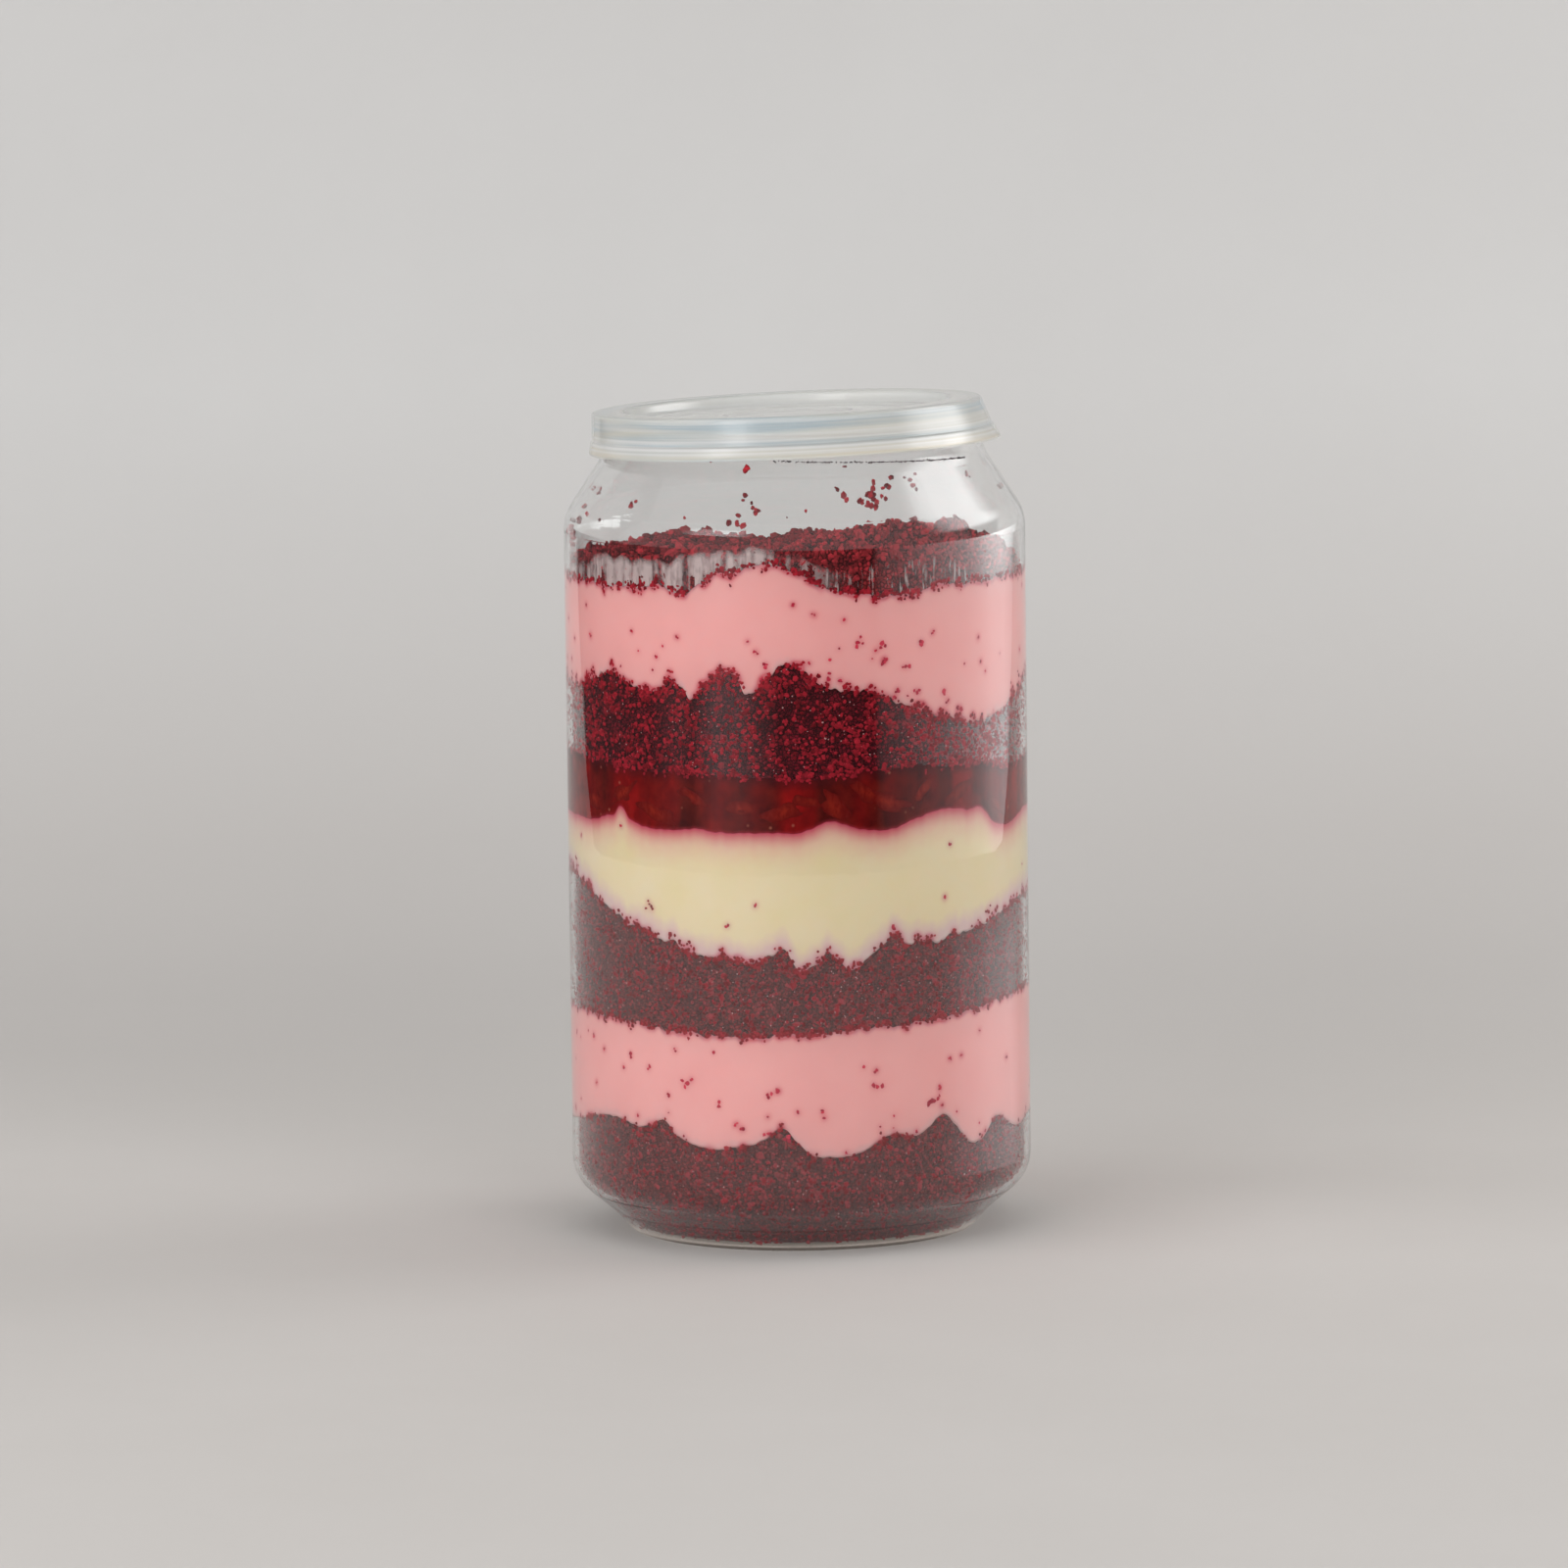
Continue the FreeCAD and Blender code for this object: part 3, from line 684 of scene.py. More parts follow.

# %% [markdown]
# ### Glints and stains
# Tiny pale flecks sit among the crumbs, a tenth of a millimetre across: painted glints, pale grains
# for the sparkle of light on the crumb, and bits of white cream and sugar. Where a crumb lies in
# cream its red runs, so each has a soft pink halo. The halo is a number on the cream's vertices,
# which grows with every grain within a millimetre and a half.

# %% Sprinkle glints and stain the cream
# Painted glints: pale grains that stand in for sparkles of light on the crumb.
GLINTS = 600                 # in each crumb layer
dice = chance(90)
spots = []
for layer_name, layer_under in CRUMB_LAYERS.items():
    direction = dice.uniform(-180, 180, GLINTS)
    spot = at_wall(direction)
    low = border_height(layer_under, *spot) if layer_under else numpy.full(GLINTS, BRIDGE)
    height = low + (border_height(layer_name, *spot) - low) * dice.uniform(0.03, 0.97, GLINTS)
    spots.append((direction, height))
direction, height = numpy.concatenate(spots, axis=1)
sizes = dice.uniform(0.06, 0.12, len(direction)) * MM
middles, out = on_wall(direction, height, numpy.full(len(direction), -0.02 * MM))
crumb_glints = sow("crumb_glints", middles, sizes, 91, 0.5, out)

near_cream = kdtree.KDTree(len(IN_CREAM))
for number, spot in enumerate(IN_CREAM):
    near_cream.insert(Vector(spot), number)
near_cream.balance()
for soft in SOFT.values():
    place = corners(soft)
    stain = numpy.zeros(len(place))
    for number in numpy.flatnonzero(numpy.hypot(place[:, 0], place[:, 1]) > INSIDE - 0.3 * MM):
        around = near_cream.find_range(place[number], 1.5 * MM)
        stain[number] = sum(math.exp(-(found[2] / (0.55 * MM)) ** 2) for found in around)
    note_on_vertices(soft, "stain", stain)
    print(soft.name, "stained up to", round(float(stain.max()), 2))

# %% [markdown]
# ### Fruit in the jam
# Pieces of cooked fruit show in the jam where they touch the plastic: slanting slivers, brighter
# and more orange than the jam itself. Each is a round lump drawn out long and pressed flat, given
# by its direction in degrees, and its height, length and width in millimetres.

# %% Lay fruit in the jam
FRUIT = ((-62, 63.9, 2.4, 1.1), (-49, 65.6, 2.8, 1.2), (-38, 63.2, 3.0, 1.3), (-27, 65.8, 2.2, 0.9),
    (-14, 64.4, 2.6, 1.0), (-4, 63.9, 3.2, 1.3), (2, 65.3, 2.4, 0.9), (9, 64.6, 2.8, 1.4),
    (17, 66.4, 2.6, 1.0), (23, 64.9, 3.2, 1.2), (33, 66.2, 2.6, 1.0), (44, 65.4, 2.8, 1.1),
    (60, 62.6, 2.4, 1.0), (85, 64.6, 2.8, 1.1), (105, 65.4, 2.6, 1.2), (128, 63.6, 3.0, 1.1),
    (149, 65.8, 2.8, 1.2), (170, 63.8, 2.6, 1.0), (193, 65.0, 3.0, 1.3), (216, 63.4, 2.8, 1.1),
    (238, 65.0, 2.6, 1.2), (262, 64.0, 2.8, 1.0))
FRUIT_REACH = INSIDE + 0.085 * MM
dice = chance(80)
bits = bmesh.new()
inner = bits.verts.layers.float.new("inner")
for direction, height, length, width in FRUIT:
    made = bmesh.ops.create_icosphere(bits, subdivisions=4, radius=1.0)["verts"]
    away = math.radians(direction)
    out = Vector((math.sin(away), -math.cos(away), 0))
    aside = Vector((math.cos(away), math.sin(away), 0))
    lean = dice.uniform(-0.9, 0.9)
    along = aside * math.cos(lean) + Vector((0, 0, math.sin(lean)))
    across = out.cross(along)
    middle = out * (INSIDE - 0.42 * MM) + Vector((0, 0, height * MM))
    for v in made:
        v[inner] = 1 - math.hypot(v.co.x, v.co.y)
        lump = v.co * (1.25 + 0.45 * noise.noise(v.co * 1.7 + middle * 900))
        spot = middle + (along * lump.x * length + across * lump.y * width) * MM + out * lump.z * 0.50 * MM
        flat = Vector((spot.x, spot.y, 0))
        if flat.length > FRUIT_REACH:
            spot.xy = flat.xy * (FRUIT_REACH / flat.length)
        v.co = spot
bmesh.ops.recalc_face_normals(bits, faces=bits.faces)
jam_fruit = in_scene("jam_fruit", bits)
jam_fruit.data.shade_smooth()
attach(jam_fruit, "root")
report(jam_fruit)

# %% [markdown]
# ### The smear above the top cream
# Where the topping slid down the wall it left a thin film of cream on the plastic, in upright
# streaks, and the dark crumbs show through it. It is a band of film a few hundredths of a
# millimetre thick, from the top cream's border nearly to the heap's edge at the left. At the right
# the clumps rubbed it off, so there it is low. Its streaks are in its finish.

# %% Smear a film on the wall
FILM_SHIFTS = chance(85).uniform(0, 360, 5)


def rubbed_off(x):
    """0 at the left, 1 at the right."""
    return 1 / (1 + numpy.exp(-(x / INSIDE - 0.06) * 20))


def film_foot(x, y):
    return border_height("cream_pink_upper", x, y) - 0.2 * MM


def film_head(x, y):
    uneven = waves(direction_of(x, y), (7, 11, 23, 37, 59), FILM_SHIFTS)
    head = topping_height(x, y) - (5.1 * rubbed_off(x) - 0.5 + 0.22 * uneven) * MM
    return numpy.maximum(film_foot(x, y) + 1.2 * MM, head)


film = bmesh.new()
bmesh.ops.create_grid(film, x_segments=480, y_segments=14, size=0.5)
for v in film.verts:
    turn = (v.co.x + 0.5) * 2 * math.pi
    x, y = math.sin(turn), -math.cos(turn)
    low, high = float(film_foot(x * INSIDE, y * INSIDE)), float(film_head(x * INSIDE, y * INSIDE))
    height = low + (high - low) * (v.co.y + 0.5)
    radius = float(inside_radius(height)) - 0.03 * MM
    v.co = Vector((x * radius, y * radius, height))
weld(film)
bmesh.ops.solidify(film, geom=film.faces[:], thickness=0.04 * MM)


def place_round(face):
    """A number for each face, from its direction and its height."""
    middle = face.calc_center_median()
    return float(direction_of(middle.x, middle.y) + 1000 * middle.z)


film.faces.sort(key=place_round)    # solidify stores the edge faces in no fixed order
wall_smear = in_scene("wall_smear", film)
wall_smear.data.shade_smooth()
x, y, z = corners(wall_smear).T
note_on_vertices(wall_smear, "up", (z - film_foot(x, y)) / MM)
note_on_vertices(wall_smear, "down", (film_head(x, y) - z) / MM)
note_on_vertices(wall_smear, "rubbed", rubbed_off(x))
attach(wall_smear, "root")
report(wall_smear)

# %% [markdown]
# # Finishes
# A finish is a small recipe of nodes. Wiring nodes one by one hides the recipe, so two helpers
# come first. One makes any node in one line, with its settings, such as the stops of a ramp, and
# with what goes into it. The other is a wire that can be added and multiplied like a number.

# %% Nodes in one line, and wires that do sums
def set_stops(ramp, stops):
    """A grey for each place along the ramp."""
    ramp.elements.remove(ramp.elements[1])
    for number, (position, grey) in enumerate(stops):
        stop = ramp.elements.new(position) if number else ramp.elements[0]
        stop.position = position
        stop.color = (grey, grey, grey, 1)


def plug(tree, value, socket):
    """Joins a wire to a socket, or sets a constant there. A colour is given by three numbers."""
    if isinstance(value, Wire):
        tree.links.new(value.socket, socket)
    else:
        socket.default_value = (*value, 1.0) if socket.type == "RGBA" else value


def make_node(tree, kind, settings, inputs, out=0):
    made = tree.nodes.new(kind)
    for key, value in (settings or {}).items():
        if key == "stops":
            set_stops(made.color_ramp, value)
        else:
            setattr(made, key, value)
    for key, value in (inputs or {}).items():
        socket = next((s for s in made.inputs if s.identifier == key), None) or made.inputs[key]
        plug(tree, value, socket)
    return Wire(made.outputs[out])


class Wire:
    """A node's output. Sums on it add Math nodes."""

    def __init__(self, socket):
        self.socket = socket

    def math(self, operation, *values):
        tree = self.socket.id_data
        return make_node(tree, "ShaderNodeMath", {"operation": operation}, dict(enumerate(values)))

    def __add__(self, other):
        return self.math("ADD", self, other)

    def __radd__(self, other):
        return self.math("ADD", other, self)

    def __sub__(self, other):
        return self.math("SUBTRACT", self, other)

    def __rsub__(self, other):
        return self.math("SUBTRACT", other, self)

    def __mul__(self, other):
        return self.math("MULTIPLY", self, other)

    def __rmul__(self, other):
        return self.math("MULTIPLY", other, self)

    def __truediv__(self, other):
        return self.math("DIVIDE", self, other)

    def clipped(self):
        """Held between 0 and 1."""
        return self.math("MAXIMUM", self.math("MINIMUM", self, 1.0), 0.0)


# %% [markdown]
# ## A bench for each finish
# Most recipes use the same few things: noise and cells of a certain size, a blend of two colours, a
# number from the vertices, a shallow relief. Each is a method of the bench, and sizes on it are in
# millimetres.

# %% The bench
class Finish:
    """A bench for one material."""

    def __init__(self, name):
        self.material = bpy.data.materials.new(name)
        self.material.use_nodes = True
        self.tree = self.material.node_tree
        self.tree.nodes.clear()

    def node(self, kind, settings=None, inputs=None, out=0):
        return make_node(self.tree, kind, settings, inputs, out)

    def blend(self, mask, first, second):
        """first where mask is 0, second where it is 1."""
        return self.node("ShaderNodeMix", {"data_type": "RGBA"},
            {"Factor_Float": mask, "A_Color": first, "B_Color": second}, out=2)

    def spot(self):
        """Where on the piece, in metres."""
        return self.node("ShaderNodeTexCoord", out=3)

    def axes(self, vector):
        """The three numbers of a vector, on wires of their own."""
        apart = self.node("ShaderNodeSeparateXYZ", None, {"Vector": vector})
        return [Wire(socket) for socket in apart.socket.node.outputs]

    def place(self, scale=(1, 1, 1)):
        """Where on the piece, in millimetres, stretched if asked."""
        return self.node("ShaderNodeMapping", {"vector_type": "POINT"},
            {"Vector": self.spot(), "Scale": tuple(1000 * s for s in scale)})

    def clouds(self, size, detail=3.0, scale=(1, 1, 1), roughness=0.5):
        """Soft noise whose patches are about that many millimetres across, 0 to 1."""
        return self.node("ShaderNodeTexNoise", {"noise_dimensions": "3D"},
            {"Vector": self.place(scale), "Scale": 1.0 / size, "Detail": detail, "Roughness": roughness})

    def cells(self, size, feature="F1", out=0):
        """A cell pattern whose cells are about that many millimetres across."""
        return self.node("ShaderNodeTexVoronoi", {"voronoi_dimensions": "3D", "feature": feature},
            {"Vector": self.place(), "Scale": 1.0 / size}, out=out)

    def noted(self, name):
        """A number kept on the vertices."""
        return self.node("ShaderNodeAttribute", {"attribute_name": name}, out=2)

    def bump(self, height, depth, strength=1.0):
        """depth is the height of the relief in millimetres."""
        relief = {"Height": height, "Distance": depth * MM, "Strength": strength}
        return self.node("ShaderNodeBump", None, relief)

    def surface(self, inputs):
        return self.node("ShaderNodeBsdfPrincipled", None, inputs)

    def either(self, mask, first, second):
        """One shader where mask is 0, another where it is 1."""
        return self.node("ShaderNodeMixShader", None, {"Fac": mask, "Shader": first, "Shader_001": second})

    def finish(self, shader):
        output = self.tree.nodes.new("ShaderNodeOutputMaterial")
        plug(self.tree, shader, output.inputs["Surface"])
        print(self.material.name, "is made of", len(self.tree.nodes), "nodes")
        return self.material


def give(material, *pieces):
    for piece in pieces:
        for slot in piece.material_slots:
            slot.material = material
        if not piece.material_slots:
            piece.data.materials.append(material)


# %% [markdown]
# ## Clear plastic
# The can is blown from clear plastic, and bends light as such plastic does. Its wall is never
# perfectly even, so a very shallow bump makes reflections waver. Light that comes from the lamps
# should reach the food, and a path tracer would need thousands of samples to bring it through the
# wall. So shadow rays, and only they, see a plain transparent film. The bead that the can stands on
# gathers light from the table in the same costly way, so it is given a painted glow: a faint
# emission that stands in for that light.

# %% Clear plastic
BEAD_TOP = 1.5 * MM


def clear_plastic():
    f = Finish("clear_plastic_wall")
    waver = f.clouds(9.0, 2.0, (1, 1, 0.35))
    scuffs = (f.clouds(0.9, 2.0, (1, 1, 0.4)) * 2.0 - 1.1).clipped()
    # Painted glow: a faint emission on the bead at the foot stands in for light gathered from the table.
    painted_foot_glow = ((BEAD_TOP - f.axes(f.spot())[2]) * 2000.0).clipped()
    plastic = f.surface({"Base Color": f.blend(waver, (0.985, 0.988, 0.985), (0.972, 0.978, 0.978)),
        "Emission Color": f.blend(painted_foot_glow, (0, 0, 0), (0.042, 0.035, 0.030)), "Emission Strength": 1.0,
        "Roughness": 0.015 + 0.03 * scuffs, "IOR": 1.57, "Transmission Weight": 1.0,
        "Normal": f.bump(waver, 0.05, 0.35)})
    film = f.node("ShaderNodeBsdfTransparent", None, {"Color": (0.95, 0.955, 0.955)})
    for_lamps = f.node("ShaderNodeLightPath", out=1)
    return f.finish(f.either(for_lamps, plastic, film))


give(clear_plastic(), CAN)

# %% [markdown]
# ## Milky plastic
# The lid is a soft, cloudy plastic that lets light through but no clear picture. Rings from the
# mould run round it, with cooler and warmer tints between them. Its disc is painted whiter than its
# skirt, as painted light for the light that falls on the top. The rings lie round the lid's own
# axis, which leans because the lid sits askew. So the pattern is made from the distance to that
# axis and the height, with only a little of the direction.

# %% Milky plastic
LID_LOW, LID_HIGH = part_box("lid")
LID_MIDDLE = (LID_LOW + LID_HIGH) / 2
LID_TILT, LID_HIGH_SIDE = math.radians(2.5), math.radians(52)
LID_AXIS = Vector((-math.sin(LID_TILT) * math.sin(LID_HIGH_SIDE),
    math.sin(LID_TILT) * math.cos(LID_HIGH_SIDE), math.cos(LID_TILT)))
DISC_EDGE = 25.5 * MM
BRIGHT_LINES = (-1.9, -1.35, -0.2)    # heights on the lid, in millimetres from its middle


def milky_plastic():
    f = Finish("milky_plastic_lid")
    upright = LID_AXIS.rotation_difference(Vector((0, 0, 1)))
    spot = f.node("ShaderNodeMapping", {"vector_type": "POINT"}, {"Vector": f.spot(),
        "Rotation": upright.to_euler(), "Location": -(upright @ LID_MIDDLE)})
    across, deep, high = f.axes(spot)
    squares = across * across + deep * deep
    reach = squares.math("SQRT", squares)

    def round_axis(out, up, aside, inputs):
        vector = f.node("ShaderNodeCombineXYZ", None, {"X": reach * out, "Y": high * up, "Z": aside})
        return f.node("ShaderNodeTexNoise", None, {"Vector": vector, "Scale": 1.0, **inputs})

    rings = round_axis(900.0, 2100.0, (across + deep) * 14.0, {"Detail": 2.0, "Roughness": 0.55})
    bands = round_axis(160.0, 620.0, (across - deep) * 26.0, {"Detail": 1.0})
    tint = f.blend((bands * 3.0 - 1.0).clipped(), (0.64, 0.74, 0.79), (0.90, 0.84, 0.71))
    body = f.blend((rings * 3.2 - 1.3).clipped(), tint, (0.92, 0.92, 0.91))
    # Painted light: the disc on top is painted whiter, for the light that falls on it.
    painted_lit_disc = ((DISC_EDGE - reach) * 800.0).clipped()
    body = f.blend(painted_lit_disc * 0.85, body, (1.0, 1.0, 0.98))
    for line in BRIGHT_LINES:
        off_line = high * 1000.0 - line
        on_line = (1 - off_line.math("ABSOLUTE", off_line) / 0.22).clipped()
        body = f.blend(on_line * 0.8, body, (1.0, 1.0, 1.0))
    return f.finish(f.surface({"Base Color": body, "Roughness": 0.09 + 0.10 * bands, "IOR": 1.5,
        "Transmission Weight": 0.50, "Normal": f.bump(rings, 0.02, 0.35)}))


give(milky_plastic(), LID)

# %% [markdown]
# ## Creams
# Cream is a soft, dull, slightly translucent mass. What gives it life is its edge: for a
# millimetre along every border, colour has crept in from the crumbs or the jam.

# %% Creams
def cream(name, pale, deep, from_under, from_over, top_line, stained):
    """from_under, from_over and top_line are each a tint and how many millimetres it creeps in."""
    f = Finish(name)
    patches = f.clouds(6.0, 3.0)
    wander = f.clouds(1.3, 2.0) * 1.4 - 0.7

    def creep(noted, reach):
        return (1 - noted / reach).clipped()

    body = f.blend((patches * 1.6 - 0.3).clipped(), pale, deep)
    tint, reach = from_under
    low = creep(f.noted("above") + wander, reach)
    body = f.blend((low * 1.5).clipped() * 0.9, body, tint)
    tint, reach = from_over
    high = creep(f.noted("below") + wander, reach)
    body = f.blend(high * (0.35 + 0.55 * high), body, tint)
    body = f.blend((f.noted("stain") * 0.32).clipped() * 0.8, body, stained)
    tint, reach = top_line
    line = creep(f.noted("below"), reach)
    body = f.blend(line * line, body, tint)
    bubbles = f.cells(1.5)
    return f.finish(f.surface({"Base Color": body, "Roughness": 0.5 + 0.12 * patches, "IOR": 1.45,
        "Specular IOR Level": 0.1, "Subsurface Weight": 0.25, "Subsurface Radius": (1.0, 0.45, 0.35),
        "Subsurface Scale": 1.2 * MM, "Normal": f.bump(patches + 0.2 * bubbles, 0.05, 0.4)}))


pink = cream("pink_cream_filling", (0.905, 0.492, 0.472), (0.872, 0.447, 0.432),
    ((0.80, 0.47, 0.46), 1.2), ((0.78, 0.42, 0.425), 0.9), ((0.60, 0.20, 0.23), 0.8), (0.66, 0.10, 0.14))
give(pink, SOFT["cream_pink_lower"], SOFT["cream_pink_upper"])
custard = cream("custard_filling", (0.83, 0.725, 0.53), (0.80, 0.695, 0.44),
    ((0.74, 0.55, 0.55), 3.4), ((0.78, 0.36, 0.36), 5.2), ((0.60, 0.07, 0.12), 2.6), (0.62, 0.16, 0.22))
give(custard, SOFT["custard"])

# %% [markdown]
# ## Jam and fruit
# Jam is dark because it is deep: light goes in and hardly comes out. So its base colour is nearly
# black red. Runs of brighter jam go down it, strands of fruit lighten it further, and it is
# darker under the crumbs and paler where it melts into the custard.

# %% Jam and fruit
def jam():
    f = Finish("fruit_jam_filling")
    strands = f.clouds(2.4, 4.0, (1, 1, 0.8), 0.6)
    seeds = (1 - f.cells(2.8) * 9.0).clipped()
    runs = (f.clouds(5.0, 2.0, (1, 1, 0.12)) * 3.6 - 1.35).clipped()
    deep = f.blend(runs, (0.060, 0.003, 0.003), (0.20, 0.003, 0.004))
    bright = f.blend(runs, (0.17, 0.012, 0.007), (0.38, 0.008, 0.008))
    body = f.blend((strands * 2.6 - 1.0).clipped(), deep, bright)
    near_crumb = (1 - f.noted("below") / 1.6).clipped()
    body = f.blend(near_crumb * 0.7, body, (0.05, 0.006, 0.010))
    melt = (1 - f.noted("above") / 0.6).clipped()
    body = f.blend(melt * melt * 0.7, body, (0.40, 0.035, 0.055))
    body = f.blend(seeds, body, (0.42, 0.12, 0.08))
    return f.finish(f.surface({"Base Color": body, "Roughness": 0.16 + 0.1 * strands, "IOR": 1.45,
        "Specular IOR Level": 0.05, "Normal": f.bump(strands, 0.10, 0.5)}))


def fruit():
    f = Finish("fruit_bits")
    grain_lines = f.clouds(0.7, 4.0, (1, 1, 0.5), 0.65)
    heart = f.blend((grain_lines * 2.4 - 0.8).clipped(), (0.18, 0.006, 0.005), (0.38, 0.026, 0.010))
    body = f.blend((f.noted("inner") * 1.3 - 0.2).clipped(), (0.14, 0.004, 0.004), heart)
    return f.finish(f.surface({"Base Color": body, "Roughness": 0.2 + 0.15 * grain_lines,
        "Specular IOR Level": 0.05, "Normal": f.bump(grain_lines, 0.06, 0.5)}))


give(jam(), SOFT["jam"])
give(fruit(), jam_fruit)

# %% [markdown]
# ## Crumb
# Red cake crumb is crimson where a grain is lit and nearly black in the cracks, where shade falls.
# That shade is painted: the cores are painted darker with the depth of their own pits, and the
# cracks of a finer cell pattern, which breaks up what the mesh is too coarse to show, are painted
# nearly black. The grains read a number of their own, so that no two neighbours match. The two
# lower layers and the topping have finishes of their own, because their crumb is finer or drier.

# %% Crumb
def crumb_core(name, dark, bright, creases=(0.040, 0.004, 0.007)):
    f = Finish(name)
    speckle = f.node("ShaderNodeSeparateColor", None, {"Color": f.cells(0.55, out=1)})
    # Painted shade: the cracks between the cells take the creases colour, nearly black.
    cracks = (f.cells(0.55, "DISTANCE_TO_EDGE") * 5.0).clipped()
    body = f.blend(cracks, creases, f.blend(speckle, dark, bright))
    # Painted shade: deeper pits are painted darker.
    painted_pit_shade = (f.noted("pit_shade_depth") * 1.8).clipped()
    body = f.blend(painted_pit_shade * 0.7, body, (0.035, 0.005, 0.008))
    return f.finish(f.surface({"Base Color": body, "Roughness": 0.72 + 0.2 * speckle,
        "Specular IOR Level": 0.03, "Normal": f.bump(cracks + 0.5 * speckle, 0.14, 0.8)}))


def crumb_grain(name, dark, bright):
    f = Finish(name)
    fine = f.clouds(0.16, 2.0)
    body = f.blend(f.noted("tone"), dark, bright)
    body = f.blend((fine * 2.2 - 1.0).clipped() * 0.5, body, (0.07, 0.006, 0.012))
    return f.finish(f.surface({"Base Color": body, "Roughness": 0.55 + 0.25 * fine,
        "Specular IOR Level": 0.05, "Normal": f.bump(fine, 0.03, 0.6)}))


core_finish = crumb_core("crumb_core", (0.15, 0.008, 0.015), (0.34, 0.014, 0.034))
heap_finish = crumb_core("topping_core", (0.22, 0.022, 0.022), (0.44, 0.036, 0.046))
fine_core_finish = crumb_core("fine_crumb_core", (0.23, 0.027, 0.028), (0.44, 0.042, 0.046),
    creases=(0.085, 0.015, 0.017))
grain_finish = crumb_grain("crumb_grain", (0.17, 0.008, 0.014), (0.53, 0.022, 0.042))
topping_finish = crumb_grain("topping_grain", (0.13, 0.013, 0.015), (0.60, 0.040, 0.055))
fine_grain_finish = crumb_grain("fine_crumb_grain", (0.20, 0.018, 0.022), (0.46, 0.036, 0.050))
for layer_name in CRUMB_LAYERS:
    is_upper = layer_name == "crumb_upper"
    give(core_finish if is_upper else fine_core_finish, CRUMB[layer_name])
    give(grain_finish if is_upper else fine_grain_finish, WALL_GRAINS[layer_name])
give(heap_finish, heap)
give(grain_finish, foot_grains)
give(topping_finish, heap_grains, side_grains, shoulder_specks)
give(crumb_grain("speck_grain", (0.34, 0.020, 0.045), (0.74, 0.060, 0.110)), cream_specks)
# Painted shade: the neck dust is darker than any crumb.
give(crumb_grain("dark_dust_and_shade", (0.030, 0.022, 0.026), (0.10, 0.06, 0.07)), neck_dust_and_shade)
# Painted glints: pale pink grains.
give(crumb_grain("painted_sugar_glint", (0.45, 0.13, 0.15), (0.74, 0.45, 0.44)), crumb_glints)

# %% [markdown]
# ## Smear
# The film is cream that is mostly not there. Where it was not rubbed off it is wide streaks and
# blots over a thin veil; where it was, only narrow threads are left. It fades at both its edges.

# %% Smear
def smear():
    f = Finish("cream_smear")
    streaks = f.clouds(1.7, 3.0, (1, 1, 0.13))
    blots = f.clouds(0.9, 3.0, (1, 1, 0.6))
    narrow = f.clouds(0.42, 2.0, (1, 1, 0.13))
    body = f.blend(streaks, (0.60, 0.43, 0.425), (0.78, 0.65, 0.63))
    fading = (f.noted("down") * 0.9).clipped() * (f.noted("up") * 2.5).clipped()
    rubbed = f.noted("rubbed")
    wide = (streaks * 4.8 + blots * 1.5 - 2.65).clipped() * 0.78 + 0.05
    thin = (narrow * 7.0 + streaks * 2.0 - 4.9).clipped() * 0.52
    cover = (wide * (1 - rubbed) + thin * rubbed) * fading
    return f.finish(f.surface({"Base Color": body, "Roughness": 0.5 + 0.1 * streaks, "Alpha": cover,
        "Specular IOR Level": 0.3, "Normal": f.bump(streaks, 0.04, 0.5)}))


give(smear(), wall_smear)

# %% [markdown]
# ## Which slot each new piece stands for
# The record names a few material slots, and this table says for each new piece which of them it stands for.

# %% Slots
SLOT_OF = {
    "red_crumb": [*CRUMB.values(), heap, *WALL_GRAINS.values(), heap_grains, side_grains, foot_grains,
        cream_specks, crumb_glints, shoulder_specks, neck_dust_and_shade],
    "pink_cream": [SOFT["cream_pink_lower"], SOFT["cream_pink_upper"], wall_smear],
    "yellow_cream": [SOFT["custard"]],
    "fruit_jam": [SOFT["jam"], jam_fruit]}
for slot_name, members in SLOT_OF.items():
    print(slot_name, "is the slot of", len(members), "new pieces")

# %% [markdown]
# # The table and the light
# The can stands on a pale table with a pale wall close behind it. The two are one sheet, bent
# upwards in a wide curve, so that no line shows where they meet. Seen from behind, the sheet is
# clear, so that a camera there still sees the can.

# %% Table and backdrop
TABLE_FRONT, BACKDROP, BEND, BACKDROP_TALL, SHEET_WIDE = 2.2, 0.355, 0.16, 1.9, 4.8
UNDER_CAN = 0.01 * MM        # the table lies this much lower than the can's foot


def sweep():
    """A grid laid flat from the front, bent up round a quarter circle, and on up the backdrop."""
    sheet = bmesh.new()
    bmesh.ops.create_grid(sheet, x_segments=2, y_segments=96, size=0.5)
    start, arc = BACKDROP - BEND, BEND * math.pi / 2
    whole = TABLE_FRONT + start + arc + BACKDROP_TALL
    for v in sheet.verts:
        along = (v.co.y + 0.5) * whole - TABLE_FRONT
        turn = min(max((along - start) / BEND, 0.0), math.pi / 2)
        y = min(along, start) + BEND * math.sin(turn)
        z = BEND * (1 - math.cos(turn)) + max(along - start - arc, 0.0)
        v.co = Vector((v.co.x * SHEET_WIDE, y, z - UNDER_CAN))
    return in_scene("table_and_backdrop", sheet)


